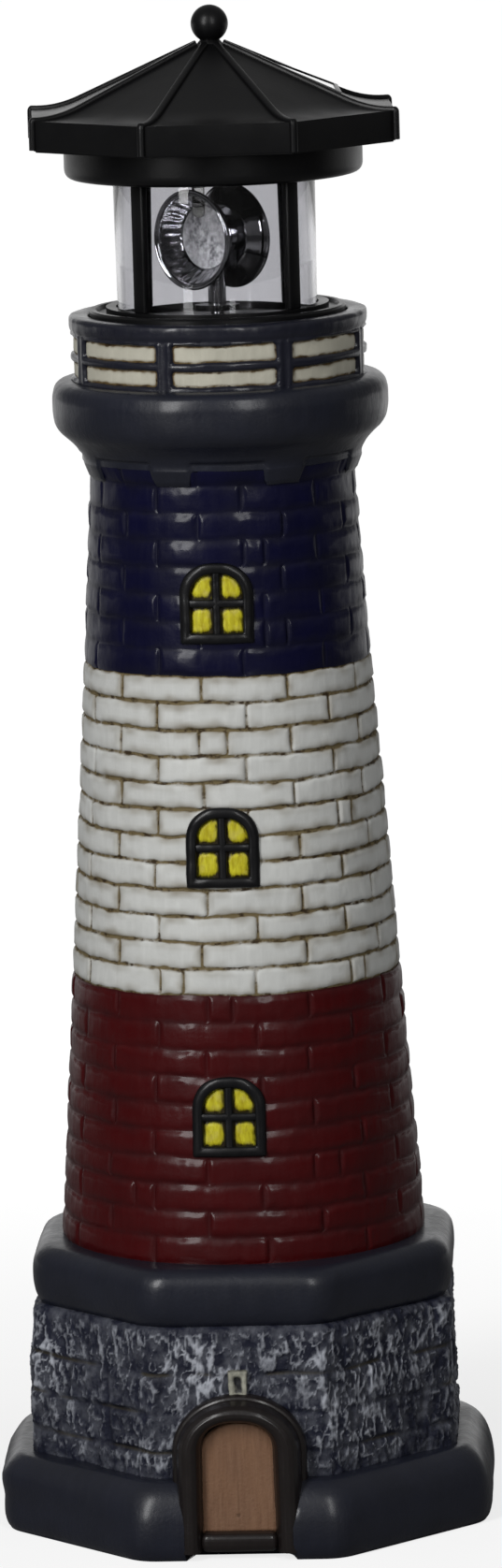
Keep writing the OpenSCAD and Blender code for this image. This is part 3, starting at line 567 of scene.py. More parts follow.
def octagon_reach(apothem, corner, angle):
    """Distance from the axis to a rounded octagon in a direction, in degrees."""
    t = abs((angle - base_turn + 22.5) % 45.0 - 22.5)
    half = math.radians(22.5)
    if math.tan(math.radians(t)) * apothem <= (apothem - corner) * math.tan(half):
        return apothem / math.cos(math.radians(t))
    centre = (apothem - corner) / math.cos(half)
    off = half - math.radians(t)
    return centre * math.cos(off) + math.sqrt(max(0.0, corner * corner - (centre * math.sin(off)) ** 2))


def octagon_body(rows, steps):
    """A closed ring from rows of (apothem, corner, height), turned wide apart and then drawn in."""
    far = 200.0
    bm = lathe([(far + i * 5, row[2] + i * 500) for i, row in enumerate(rows)], steps)
    for vert in bm.verts:
        apothem, corner, z = rows[round((reach_of(vert.co) - far) / 5)]
        angle = direction(vert.co)
        vert.co = turned(angle, octagon_reach(apothem, corner, angle), 0.0, z)
    return bm


def profile_rows(width, height, foot, corner, profile, count):
    """Rows up a side, eased between the profile's (share of height, draw-in) points."""
    rows = []
    for i in range(count + 1):
        t = i / count
        t = 0.5 - 0.5 * math.cos(math.pi * t)
        rows.append((width / 2 - along(profile, t), corner, foot + t * height))
    return rows


def soften(bm, where, rounds):
    """Rounds off the points that a test picks out."""
    verts = [v for v in bm.verts if where(v.co)]
    for _ in range(rounds):
        bmesh.ops.smooth_vert(bm, verts=verts, factor=0.5, use_axis_x=True, use_axis_y=True,
                              use_axis_z=True)


def in_arch(x, z, half, foot, top, flatness=0.86):
    """How far inside an arch a point is, in millimetres; negative outside."""
    rise = half * flatness
    spring = top - rise
    side = half - abs(x)
    if z < spring:
        return min(side, z - foot)
    reach = math.hypot(x, (z - spring) / flatness)
    return half - reach


# The hollow behind the door surround: half width, foot and top, and how far out its floor stands
hollow_half = 15.6
hollow_foot = -9.0
hollow_top = 45.2
door_back_low = 64.5
door_back_high = 60.8


def press_door(bm, back):
    """Sinks the face behind the door surround."""
    for vert in bm.verts:
        local = turned(-base_turn, *vert.co)
        if local.y > -back:
            continue
        inside = in_arch(local.x, local.z, hollow_half, hollow_foot, hollow_top)
        if inside > 0.0:
            local.y = mix(local.y, -back, smooth_step(0.0, 0.5, inside))
            vert.co = turned(base_turn, *local)


plinth_profile = [(0, 2.1), (0.05, 0.9), (0.17, 0.1), (0.35, 0), (0.56, 0.6), (0.76, 2.1),
                  (0.91, 4.5), (1, 7.4)]
rows = profile_rows(147.8, 23.0, 0.0, 12.0, plinth_profile, 22)
rows += [(61.5, 8.0, 23.05), (57.2, 3.0, 23.0), (57.2, 3.0, 16.0), (61.9, 3.0, 16.0),
         (61.9, 3.0, 0.0), (67.0, 6.0, 0.0)]
bm = octagon_body(rows, 320)
soften(bm, lambda p: p.z > 1.0 and reach_of(p) > 64.0, 2)
for vert in bm.verts:
    if reach_of(vert.co) > 64.0 and vert.co.z > 0.4:
        swell = 0.35 * lumps(vert.co, 26.0) + 0.12 * lumps(vert.co, 9.0, 3.0)
        # The casting's left shoulder is fuller
        from_left = abs(direction(vert.co) % 360.0 - 184.0)
        full = smooth_step(48.0, 14.0, from_left) * smooth_step(9.0, 18.0, vert.co.z)
        swell += 2.6 * full
        push_out(vert, swell - 0.2)
press_door(bm, door_back_low)
make_piece(bm, "plinth_casting", slate_paint, "tower", ["plinth"])

ledge_profile = [(0, 2.3), (0.05, 1.5), (0.18, 0.5), (0.38, 0), (0.62, 0), (0.8, 0.5), (0.93, 2),
                 (1, 4.6)]
rows = profile_rows(126.4, 17.0, z_ledge, 15.0, ledge_profile, 20)
rows += [(56.0, 20.0, z_red + 0.25), (52.0, 40.0, z_red + 0.3), (50.6, 50.6, z_red), (50.6, 50.6, 78.7),
         (57.0, 3.0, 78.7), (57.0, 3.0, z_ledge), (60.0, 5.0, z_ledge)]
bm = octagon_body(rows, 320)
soften(bm, lambda p: p.z > z_ledge + 0.3 and reach_of(p) > 57.5, 2)
for vert in bm.verts:
    if reach_of(vert.co) > 57.5:
        swell = 0.35 * lumps(vert.co, 24.0, 5.0) + 0.1 * lumps(vert.co, 8.0, 8.0)
        push_out(vert, swell - 0.2)
        vert.co.z += 0.2 * lumps(vert.co, 15.0, 11.0)
make_piece(bm, "ledge_casting", slate_paint, "tower", ["ledge"])


# ---- Stone wall ----

stone_lines = [14.0, 30.5, 42.0, 54.0, 69.5]
wall_reach = 63.0


def stone_layout(seed, least, most):
    """Upright joints of one course of stones, as angles in degrees all round."""
    rng = random.Random(seed)
    joints = [rng.uniform(0, 10)]
    while joints[-1] < 360.0 + joints[0] - least:
        joints.append(joints[-1] + rng.uniform(least, most))
    span = joints[-1] - joints[0]
    return [joints[0] + (j - joints[0]) * 360.0 / span for j in joints[:-1]]


stone_joints = [stone_layout(40 + i, 8.0, 21.0) for i in range(4)]
stone_out = [[random.Random(100 * i + k).uniform(-0.45, 0.5) for k in range(len(stone_joints[i]))]
             for i in range(4)]


# Where more of the pale colour was dragged on, or less: degrees from the front, height, width, amount
dragged = [(-17.0, 59.0, 8.0, 0.9), (-15.0, 42.0, 9.0, 0.5), (8.0, 52.0, 10.0, -0.25),
           (33.0, 52.0, 7.0, 0.6), (30.0, 35.0, 7.0, 0.6), (-63.0, 55.0, 9.0, 0.5),
           (60.0, 58.0, 10.0, 0.2), (-40.0, 40.0, 9.0, -0.15), (20.0, 46.0, 6.0, 0.2),
           (-10.0, 52.0, 9.0, 0.35), (-70.0, 45.0, 10.0, 0.25)]


def dragged_amount(angle, z, point):
    """How heavily the pale colour lies at a place on the stones."""
    amount = 0.5 + 0.55 * lumps(point, 15.0, 31.0)
    from_front = (angle + 90.0 + 180.0) % 360.0 - 180.0
    for middle, level, width, more in dragged:
        off = math.hypot((from_front - middle) * 1.1, z - level) / width
        if off < 2.2:
            amount += more * math.exp(-off * off)
    return max(0.12, amount)


def stone_surface(angle, z, point):
    """Offset of the stone face, how much of a joint the point is in, and how high it stands."""
    bend = 1.3 * lumps((point[0], point[1], 0.0), 16.0, 2.0)
    z = z + bend * smooth_step(24.0, 34.0, z) * (1.0 - smooth_step(58.0, 66.0, z))
    course = min(3, max(0, bisect.bisect_right(stone_lines, z) - 1))
    joints = stone_joints[course]
    count = len(joints)
    wavy = angle + 1.1 * lumps(point, 7.0, 6.0)
    a = (wavy - joints[0]) % 360.0 + joints[0]
    k = bisect.bisect_right(joints, a) - 1
    left = a - joints[k]
    right = (joints[k + 1] if k + 1 < count else joints[0] + 360.0) - a
    side = min(left, right) * math.radians(1.0) * wall_reach
    line = min(z - stone_lines[course], stone_lines[course + 1] - z)
    broken = smooth_step(-0.25, 0.25, lumps(point, 12.0, 23.0))
    level = (1.0 - smooth_step(0.2, 1.4, line)) * mix(0.35, 1.0, broken)
    joint = max((1.0 - smooth_step(0.2, 1.3, side)) * 0.55, level)
    x, y, h = point
    upright = noise.fractal(Vector((x / 4.4, y / 4.4, h / 11.0)), 0.9, 2.1, 3)
    curly = noise.fractal(Vector((x / 4.8 + 7.0, y / 4.8, h / 5.5)), 0.9, 2.1, 3)
    strokes = max(1.0 - abs(upright) / 0.2, 0.8 - abs(curly) / 0.16, 0.0)
    rough = noise.fractal(Vector((x / 2.4 + 9.0, y / 2.4, h / 3.0)), 0.8, 2.0, 3)
    edge_lift = smooth_step(0.6, 1.6, side) * (1.0 - smooth_step(1.6, 3.0, side))
    out = stone_out[course][k] + 0.55 * (strokes - 0.35) + 0.3 * rough
    high = strokes * 0.8 + 0.22 * rough + 0.3 * edge_lift * smooth_step(0.0, 0.5, lumps(point, 9.0, 41.0))
    high *= dragged_amount(angle, h, point) * 1.15
    return out * (1.0 - joint) - 0.9 * joint, joint * smooth_step(0.4, 1.0, joint), high - joint * 0.4


def store(bm, name):
    """A value kept on each point of a piece, for its material."""
    return bm.verts.layers.float.new(name)


wall_steps = 92
wall_rows = []
for i in range(wall_steps + 1):
    apothem = 62.6 if i == 0 else (62.0 if i == wall_steps else wall_reach)
    wall_rows.append((apothem, 5.0, mix(z_wall - 0.6, z_ledge, i / wall_steps)))
bm = octagon_body(wall_rows + [(57.0, 3.0, z_ledge), (57.0, 3.0, z_wall - 0.6)], 860)
joint_of = store(bm, "joint")
high_of = store(bm, "high")
for vert in bm.verts:
    z = vert.co.z
    angle = direction(vert.co)
    if reach_of(vert.co) < octagon_reach(61.8, 5.0, angle) - 0.2:
        continue
    point = tuple(vert.co)
    offset, joint, high = stone_surface(angle, z, point)
    foot = z_wall + 2.2 + 3.0 * lumps(point, 14.0, 51.0)
    fade = smooth_step(foot - 1.8, foot + 2.4, z) * (1.0 - smooth_step(z_ledge - 2.6, z_ledge - 0.4, z))
    vert[joint_of] = joint * mix(0.3, 1.0, fade)
    vert[high_of] = high * fade
    # The wall bulges at its left and falls back at its upper right and under the ledge
    from_left = abs(angle % 360.0 - 180.0)
    offset += 2.0 * smooth_step(38.0, 8.0, from_left) * smooth_step(64.0, 50.0, z)
    offset -= 1.1 * smooth_step(30.0, 8.0, 180.0 - from_left) * smooth_step(50.0, 58.0, z)
    offset -= 0.8 * smooth_step(z_ledge - 2.2, z_ledge, z)
    push_out(vert, offset - 0.25)
press_door(bm, door_back_high)
make_piece(bm, "stone_wall_casting", stone_paint, "tower", ["stone_wall"], 60.0)

bm = bmesh.new()
block(bm, (0.0, 0.0, 0.0), (5.8, 5.0, 7.6), 0.6)
bmesh.ops.subdivide_edges(bm, edges=bm.edges[:], cuts=8, use_grid_fill=True)
joint_of = store(bm, "joint")
high_of = store(bm, "high")
for vert in bm.verts:
    p = vert.co
    taper = mix(0.9, 1.04, (p.z + 3.8) / 7.6)
    slot = smooth_step(1.5, 0.7, abs(p.x - 0.1)) * smooth_step(2.9, 2.0, abs(p.z + 0.6))
    rim = max(abs(p.x) / 2.9, abs(p.z) / 3.8)
    lift = 0.3 * lumps(p, 2.2, 4.0) + 1.1 * slot * smooth_step(0.0, -2.0, p.y)
    vert[joint_of] = 0.55 * smooth_step(0.7, 1.0, p.z / 3.8)
    vert[high_of] = 0.75 + 0.4 * lumps(p, 1.8, 7.0) - 0.75 * slot - 0.3 * smooth_step(0.88, 1.0, rim)
    vert.co = turned(base_turn, p.x * taper + 0.15 * lumps(p, 3.0), p.y - 62.3 + lift, p.z + 51.9)
make_piece(bm, "keystone_casting", key_paint, "tower", ["keystone"], 60.0)


# ---- Door ----

# Share of the surround's length that each of its straight legs takes
leg = 0.3


def surround_edge(t):
    """A point on the surround's outer edge, from its left foot (t = 0) over the top to its right foot."""
    half, foot, top = 20.0, 2.4, 48.7
    rise = half * 0.86
    spring = top - rise
    if t < leg:
        return -half, mix(foot, spring, t / leg)
    if t > 1.0 - leg:
        return half, mix(foot, spring, (1.0 - t) / leg)
    a = math.pi * (t - leg) / (1.0 - 2 * leg)
    return -half * math.cos(a), spring + rise * math.sin(a)


# Across the moulding from the opening outwards: share of its width, and distance in front
surround_section = [(0.0, 60.5), (0.0, 67.0), (0.03, 69.6), (0.1, 71.8), (0.2, 73.2), (0.34, 74.0),
                    (0.5, 74.0), (0.64, 73.3), (0.76, 71.6), (0.83, 69.0), (0.86, 67.0), (0.95, 66.6),
                    (1.0, 65.6), (1.0, 60.5)]


def opening_point(t):
    """A point on the edge of the door opening, which leans to the left and is squarer at its top."""
    if t < leg:
        return mix(-10.6, -10.3, t / leg) - 0.5, mix(2.4, 32.6, t / leg)
    if t > 1.0 - leg:
        return mix(10.9, 10.3, (1.0 - t) / leg) - 0.5, mix(2.4, 32.6, (1.0 - t) / leg)
    a = math.pi * (t - leg) / (1.0 - 2 * leg)
    c, d = math.cos(a), math.sin(a)
    return -math.copysign(abs(c) ** 0.8, c) * 10.3 - 0.5, 32.6 + 8.5 * d ** 0.8


def surround_place(u, w):
    i = w * len(surround_section)
    low = int(i) % len(surround_section)
    a = surround_section[low]
    b = surround_section[(low + 1) % len(surround_section)]
    share = mix(a[0], b[0], i - int(i))
    depth = mix(a[1], b[1], i - int(i))
    inner = opening_point(u)
    outer = surround_edge(u)
    x = mix(inner[0], outer[0], share)
    z = mix(inner[1], outer[1], share)
    across = x + 0.1 * lumps((x, 0, z), 5.0)
    uneven = 0.18 * lumps((x, depth, z), 7.0, 13.0)
    return turned(base_turn, across, -(depth + uneven * smooth_step(66, 70, depth)), z)


bm = bmesh.new()
rod(bm, 120, 56, surround_place)
close_up(bm)
make_piece(bm, "door_surround", frame_brown, "tower", ["door_frame"], 50.0)

bm = bmesh.new()


def door_place(u, v):
    x = mix(-11.7, 11.7, u)
    arch = 11.7 * 0.86
    top = 41.4 - arch + arch * math.sqrt(max(0.0, 1.0 - (x / 11.75) ** 2))
    return Vector((x, 0.0, mix(7.6, top, v)))


shaped_grid(bm, 92, 120, door_place)
joint_of = store(bm, "joint")
for vert in bm.verts:
    p = vert.co
    grain = 0.07 * lumps((p.x * 3.0, 3.0, p.z * 0.16), 1.6, 21.0)
    grain += 0.05 * lumps((p.x, 5.0, p.z * 0.3), 0.8, 9.0)
    seam = (1.0 - smooth_step(0.0, 0.4, abs(p.x + 0.4 + 0.15 * lumps((0, 0, p.z), 9.0)))) * 0.4
    seam *= smooth_step(12.0, 15.0, p.z) * (1.0 - smooth_step(30.0, 34.0, p.z))
    knot = smooth_step(0.9, 0.5, math.hypot(p.x + 0.6, p.z - 12.8))
    seam = max(seam, 0.7 * knot)
    rim = in_arch(p.x, p.z, 11.7, 7.6, 41.4)
    vert[joint_of] = max(seam, 1.0 - smooth_step(0.0, 1.0, rim + 0.3 * lumps(p, 1.5)))
    front = 68.6 + grain - 0.22 * seam - 0.5 * (1.0 - smooth_step(0.0, 1.0, rim))
    vert.co = turned(base_turn, p.x, -front, p.z)
bmesh.ops.recalc_face_normals(bm, faces=bm.faces)
bmesh.ops.solidify(bm, geom=bm.faces[:], thickness=3.0)
make_piece(bm, "door_panel", door_paint, "tower", ["door"], 50.0)

bm = bmesh.new()
block(bm, (-0.4, -67.4, 5.2), (23.0, 9.8, 5.8), 2.2, base_turn, 5)
bmesh.ops.subdivide_edges(bm, edges=bm.edges[:], cuts=3, use_grid_fill=True)
for vert in bm.verts:
    vert.co.y -= 0.25 * lumps(vert.co, 5.0, 17.0)
make_piece(bm, "door_sill_casting", frame_brown, "tower", ["door_sill"], 50.0)


# ---- Brick shaft ----

# Courses are numbered from the foot of the red band; joints stand 36 degrees apart in a course
# and move half a brick from one course to the next.
joint_turn = 7.0
slot_angle = 9.0
slot_count = 40
course_count = 30
course_lines = ([z_red + (z_white - z_red) * i / 10 for i in range(10)]
                + [z_white + (z_blue - z_white) * i / 12 for i in range(12)]
                + [z_blue + (z_tabs - z_blue) * i / 7 for i in range(8)] + [325.0])
# Short bricks that show at the front: course, and the slot of the extra joint.
front_shorts = {2: [-5], 3: [3], 9: [-1], 10: [-3, 5], 16: [5], 19: [-1], 23: [1], 24: [1], 26: [1]}


def course_slots(course):
    """The slots of a course's upright joints, with a short brick here and there on the back."""
    slots = {(4 * k + 2 * (course % 2)) % slot_count for k in range(10)}
    slots |= {s % slot_count for s in front_shorts.get(course, [])}
    rng = random.Random(7 + course)
    for s in range(9, 31):
        if s % 2 and rng.random() < 0.09:
            slots.add(s)
    return sorted(slots)


all_slots = [course_slots(c) for c in range(course_count)]
# How far each upright joint is off its slot, as a share of a slot
all_shifts = [[random.Random(900 * c + s).uniform(-0.14, 0.14) for s in range(slot_count)]
              for c in range(course_count)]


def line_wave(line, point):
    """How far a course line wanders up or down at a point."""
    slow = lumps((point[0], point[1], line * 9.0), 15.0, 1.0)
    quick = lumps((point[0], point[1], line * 5.0), 4.0)
    return 0.6 * slow + 0.3 * quick


# How far each brick tips up and to the side, and how proud it stands, in millimetres
tilts = {}
for course in range(course_count):
    for slot in range(slot_count):
        rng = random.Random(course * 50 + slot)
        tilts[course, slot] = (rng.uniform(-0.25, 0.45), rng.uniform(-0.2, 0.2), rng.uniform(-0.15, 0.2))


def brick_surface(angle, z, r, point, groove):
    """New angle and height of a point, its offset, and how much of a joint it is in."""
    half_side, half_line, side_depth, line_depth, crown, bead = groove
    course = min(course_count - 1, max(0, bisect.bisect_right(course_lines, z + 1e-6) - 1))
    low, high = course_lines[course], course_lines[course + 1]
    v = (z - low) / (high - low)
    u = ((angle - joint_turn + 90.0) / slot_angle) % slot_count
    slots = all_slots[course]
    k = bisect.bisect_right(slots, u + 1e-6) - 1
    left_slot = slots[k]
    right_slot = slots[(k + 1) % len(slots)]
    left = (u - left_slot) % slot_count
    right = (right_slot - u) % slot_count
    to_mm = math.radians(slot_angle) * r
    side = min(left, right) * to_mm
    line = min(v, 1.0 - v) * (high - low)
    rag = 1.0 + 0.6 * lumps(point, 3.2, 21.0)
    upright = 1.0 - smooth_step(0.05, half_side * rag, side)
    level = 1.0 - smooth_step(0.05, half_line * rag, line)
    joint = 1.0 - (1.0 - upright * 0.85) * (1.0 - level)
    tilt_up, tilt_side, proud = tilts[course, left_slot]
    share = left / max(0.01, left + right)
    body = proud + tilt_up * (v - 0.5) + tilt_side * (share - 0.5)
    body += crown * (math.sqrt(max(0.0, 1.0 - (2.0 * v - 1.0) ** 2)) - 0.7)
    body += 0.2 * lumps(point, 7.0, 4.0) + 0.08 * lumps(point, 2.2, 9.0)
    lip = bead * (1.0 - smooth_step(0.0, 0.8, abs(side - half_side * 0.8))) * (1.0 - level)
    lip *= smooth_step(-0.2, 0.4, lumps(point, 5.0, 27.0))
    offset = body * (1.0 - max(upright, level)) - max(side_depth * upright, line_depth * level) + lip
    near = left_slot if left < right else right_slot
    shift = all_shifts[course][near] * smooth_step(3.0, 0.0, min(left, right) * 1.2)
    shift *= smooth_step(0.0, 0.12, v) * smooth_step(0.0, 0.12, 1.0 - v)
    rise = mix(line_wave(course, point), line_wave(course + 1, point), v)
    # Grime fades out over the brick's edge
    halo = 0.45 * (1.0 - smooth_step(0.4, 3.4, min(side, line) + 1.0 * lumps(point, 4.0, 35.0)))
    return angle + shift * slot_angle, z + rise, offset, max(joint, halo)


# Rows of points up one course, closer together at its joints, and how far the points round a course
# are drawn towards its upright joints
row_shares = [0.0, 0.035, 0.08, 0.135, 0.22, 0.36, 0.5, 0.64, 0.78, 0.865, 0.92, 0.965]
drawn_in = 0.55


def brick_band(node_name, first, last, material, window, groove, top=None):
    """One painted band of the shaft, closed inside, with its bricks and the recess of its window."""
    z0 = course_lines[first]
    z1 = top if top else course_lines[last]
    levels = [mix(course_lines[c], course_lines[c + 1], s) for c in range(first, last) for s in row_shares]
    levels = [z for z in levels if z < z1 - 0.05] + [z1]
    outline = [(shaft_r(z), z) for z in levels]
    outline += [(shaft_r(z1) - shaft_wall, z1), (shaft_r((z0 + z1) / 2) - shaft_wall, (z0 + z1) / 2),
                (shaft_r(z0) - shaft_wall, z0)]
    bm = lathe(outline, 480)
    joint_of = store(bm, "joint")
    for vert in bm.verts:
        z = vert.co.z
        r = reach_of(vert.co)
        if r < shaft_r(z) - 1.0:
            continue
        angle = direction(vert.co)
        turn = (angle + 90.0 - joint_turn) / slot_angle
        angle -= drawn_in * slot_angle / (2 * math.pi) * math.sin(2 * math.pi * turn)
        point = tuple(turned(angle, r, 0.0, z))
        angle, z_new, offset, joint = brick_surface(angle, z, r, point, groove)
        vert[joint_of] = joint
        r_new = shaft_r(z_new) + offset - 0.05
        local = turned(-window_turn, *turned(angle, r_new, 0.0, z_new))
        if local.y < 0.0:
            inside = in_arch(local.x, z_new - window, 9.7, -10.9, 10.95, 1.0)
            r_new -= 1.9 * smooth_step(-0.1, 0.5, inside)
        vert.co = turned(angle, r_new, 0.0, z_new)
    make_piece(bm, node_name + "_bricks", material, "tower", [node_name], 65.0)


window_levels = [z_red + 80.2 * 0.556, z_white + 94.7 * 0.468, z_blue + 56.1 * 0.388]
# Half widths of the upright and the level joints, their depths, the bricks' crown and the paint's lip
white_groove = (1.05, 1.25, 0.62, 0.62, 0.17, 0.0)
red_groove = (1.3, 1.8, 0.5, 0.36, 0.26, 0.13)
blue_groove = (1.3, 2.0, 0.4, 0.24, 0.2, 0.14)
brick_band("red_band", 0, 10, red_paint, window_levels[0], red_groove)
brick_band("white_band", 10, 22, white_paint, window_levels[1], white_groove)
brick_band("blue_band", 22, 30, navy_paint, window_levels[2], blue_groove, z_cove + 0.6)


# ---- Windows ----

def on_shaft(x, z, level, proud):
    """A point of a window: x across, z from its middle, proud of the shaft's face."""
    r = shaft_r(level + z) + proud
    return turned(window_turn, x, -math.sqrt(r * r - x * x), level + z)


def window_edge(shrink, t):
    """A point on the window's outline, from the middle of its foot round to the right."""
    half = 11.0 - shrink
    foot = -12.25 + shrink
    spring = 1.25
    if t < 0.14:
        return mix(0.0, half, t / 0.14), foot
    if t < 0.32:
        return half, mix(foot, spring, (t - 0.14) / 0.18)
    if t <= 0.68:
        a = math.pi * (t - 0.32) / 0.36
        c, d = math.cos(a), math.sin(a)
        return math.copysign(half * abs(c) ** 0.86, c), spring + (half - 0.5) * d ** 0.86
    if t < 0.86:
        return -half, mix(spring, foot, (t - 0.68) / 0.18)
    return mix(-half, 0.0, (t - 0.86) / 0.14), foot


def half_round(w, crown, root):
    """Share across and height of a rounded bar's section at share w of its girth."""
    a = 2 * math.pi * w
    height = math.sin(a)
    return 0.5 - 0.5 * math.cos(a), (crown * height ** 0.7) if height > 0 else root * -height


# Half widths of the frame's inner and outer edge are less than the outline's by these
inner_edge = 3.3
outer_edge = 0.05
bar_width = 2.5
pane_corner = 2.4


def make_window(name, level, seed):
    """A window's rounded black border and cross bars, and its four yellow panes."""
    bm = bmesh.new()

    def ring(u, w):
        share, height = half_round(w, 1.2, -2.0)
        outer = window_edge(outer_edge, u % 1.0)
        inner = window_edge(inner_edge, u % 1.0)
        x = mix(inner[0], outer[0], share)
        z = mix(inner[1], outer[1], share)
        height += 0.16 * lumps((x, seed, z), 4.0)
        aside = 0.12 * lumps((x, z, seed), 4.0)
        above = 0.12 * lumps((z, x, seed), 4.0)
        return on_shaft(x + aside, z + above, level, height)

    rod(bm, 132, 16, ring, False)
    for upright in (True, False):
        def bar(u, w):
            share, height = half_round(w, 0.7, -2.0)
            off = (share - 0.5) * bar_width
            x, z = (off, mix(-10.6, 10.6, u)) if upright else (mix(-9.4, 9.4, u), off - 0.3)
            height += 0.12 * lumps((x, seed + 3, z), 3.0)
            aside = 0.12 * lumps((z, seed, 1.0), 3.0)
            above = 0.1 * lumps((x, seed, 2.0), 3.0)
            return on_shaft(x + aside, z + above, level, height)

        rod(bm, 40, 12, bar)
    close_up(bm)
    make_piece(bm, name + "_casting_frame", window_black, "tower", [name + "_frame"], 60.0)

    bm = bmesh.new()

    def glass(u, v):
        x = mix(-8.9, 8.9, u)
        top = 1.25 + math.sqrt(max(0.0, 8.95 ** 2 - x * x))
        return Vector((x, 0.0, mix(-10.1, top, v)))

    shaped_grid(bm, 72, 84, glass)
    edge_of = store(bm, "edge")
    for vert in bm.verts:
        x, z = vert.co.x, vert.co.z
        rim = in_arch(x, z, 7.9, -9.2, 9.3, 0.98)
        sides = [max(0.0, pane_corner - d) for d in (rim, abs(x) - 1.15, abs(z + 0.3) - 1.15)]
        gap = pane_corner - math.hypot(*sides) + 0.35 * lumps((x, seed, z), 2.2)
        vert[edge_of] = smooth_step(-0.1, 1.7, gap)
        swell = 0.45 * smooth_step(0.0, 1.6, gap) + 0.12 * lumps((x * 2.0, seed, z * 0.6), 1.8)
        vert.co = on_shaft(x, z, level, -0.95 + swell)
    bmesh.ops.recalc_face_normals(bm, faces=bm.faces)
    bmesh.ops.solidify(bm, geom=bm.faces[:], thickness=0.9)
    make_piece(bm, name + "_casting_panes", pane_yellow, "tower", [name + "_panes"], 60.0)


for index, stem in enumerate(("lower", "middle", "upper")):
    make_window(stem + "_window", window_levels[index], 31.0 + 7.0 * index)


# ---- Cove, moulding and gallery ----

# Half width of a grey tab in degrees; the posts stand a little wider apart at the front
tab_half = 8.75
railing_turn = 2.2
post_spread = 4.0
post_angles = []
for k in range(8):
    from_front = (k + 0.5) * 45.0
    post_angles.append(railing_turn + from_front + post_spread * math.sin(math.radians(from_front)) - 90.0)


def from_post(angle):
    """Degrees from the middle of the nearest railing post."""
    return min(((angle - post + 180.0) % 360.0 - 180.0 for post in post_angles), key=abs)


moulding_profile = [(0, 0), (0.16, 0.2), (0.28, 0.51), (0.35, 0.76), (0.45, 0.93), (0.6, 1), (0.8, 1),
                    (0.92, 0.91), (0.98, 0.72), (1, 0.45)]
skirt_rows = 9
outline = [(42.3, z_cove - 4.5 + 4.5 * i / skirt_rows) for i in range(skirt_rows)]
for i in range(41):
    t = 0.5 - 0.5 * math.cos(math.pi * i / 40)
    outline.append((41.7 + 8.55 * along(moulding_profile, t), z_cove + 24.0 * t))
outline += [(40.0, z_gallery), (37.0, z_gallery), (37.0, z_cove), (39.8, z_cove)]
bm = lathe(outline, 360)
soften(bm, lambda p: p.z > z_cove + 1.0 and reach_of(p) > 42.0, 3)
for vert in bm.verts:
    x, y, z = vert.co
    r = reach_of(vert.co)
    if r < 41.0:
        continue
    angle = direction(vert.co)
    if z < z_cove + 3.0:
        wander = 0.9 * lumps((x, y, 0.0), 9.0, 14.0)
        tab = 1.0 - smooth_step(tab_half - 1.1, tab_half + 0.6, abs(from_post(angle)) + wander * 0.5)
        share = (z_cove + 3.0 - z) / 7.5
        bottom = z_cove - 0.3 - 4.5 * tab + 0.25 * wander
        z = mix(z_cove + 3.0, bottom, share)
        r = mix(r, shaft_r(z) + mix(0.25, 0.85, tab), smooth_step(0.0, 0.5, share))
        r -= 0.5 * smooth_step(0.86, 1.0, share)
    r += 0.22 * lumps((x, y, z), 13.0, 19.0) + 0.08 * lumps((x, y, z), 4.0, 2.0) - 0.12
    vert.co = turned(angle, r, 0.0, z + 0.15 * lumps((x, y, 9.0), 18.0))
make_piece(bm, "moulding_casting", slate_paint, "tower", ["moulding"], 50.0)

panel_rows = [(0.05, 0.30), (0.425, 0.685)]
gallery_h = 19.2
panel_face = 43.2


def pocket_depth(angle, z, point):
    """How far inside a railing opening a point is, in millimetres; negative on the rails."""
    best = -9.0
    for number, (low, high) in enumerate(panel_rows):
        foot = z_gallery + low * gallery_h + 0.45 * lumps((point[0], point[1], 3.0 + 9 * number), 8.0, 4.0)
        top = z_gallery + high * gallery_h + 0.5 * lumps((point[0], point[1], 7.0 + 9 * number), 10.0, 6.0)
        half_post = 3.3 + 0.5 * lumps((point[0], point[1], point[2]), 5.0, 8.0)
        side = (abs(from_post(angle)) - half_post) * math.radians(1.0) * 43.9
        rise = min(z - foot, top - z)
        if side < 1.2 and rise < 1.2 and side > 0 and rise > 0:
            inside = 1.2 - math.hypot(1.2 - side, 1.2 - rise)
        else:
            inside = min(side, rise)
        best = max(best, inside)
    return best


levels = [z_gallery + gallery_h * i / 46 for i in range(35)]
outline = [(43.9, z) for z in levels if z < 358.6]
outline += [(43.85, 358.9), (43.95, 359.3), (44.15, 359.8), (44.4, 360.3), (44.55, 361.0), (44.6, 361.9),
            (44.6, 362.8), (44.5, 363.5), (44.2, 364.0), (43.5, 364.25), (41.2, 364.25), (39.2, 364.1),
            (38.7, 363.8), (38.6, 363.0), (38.6, 361.6), (37.0, 361.6), (37.0, z_gallery),
            (40.0, z_gallery)]
bm = lathe(outline, 720)
for vert in bm.verts:
    x, y, z = vert.co
    r = reach_of(vert.co)
    if r < 42.0:
        continue
    angle = direction(vert.co)
    if z < 359.0:
        inside = pocket_depth(angle, z, (x, y, z))
        r -= 1.75 * smooth_step(-0.3, 0.35, inside)
        r += 0.25 * (1.0 - smooth_step(0.0, 1.3, abs(inside + 1.0)))
        r += 0.12 * lumps((x, y, z), 4.0, 3.0)
    else:
        swell = 0.22 * lumps((x, y, z), 9.0, 12.0) + 0.12 * lumps((x, y, z), 3.5, 15.0)
        r += swell - 0.12
        rise = 0.12 * lumps((x, y, 0.0), 12.0, 16.0) * smooth_step(359.0, 361.0, z)
        z += rise - 0.1 * smooth_step(363, 364, z)
    vert.co = turned(angle, min(r, 44.58), 0.0, z)
make_piece(bm, "gallery_casting", gallery_paint, "tower", ["gallery_wall"], 60.0)

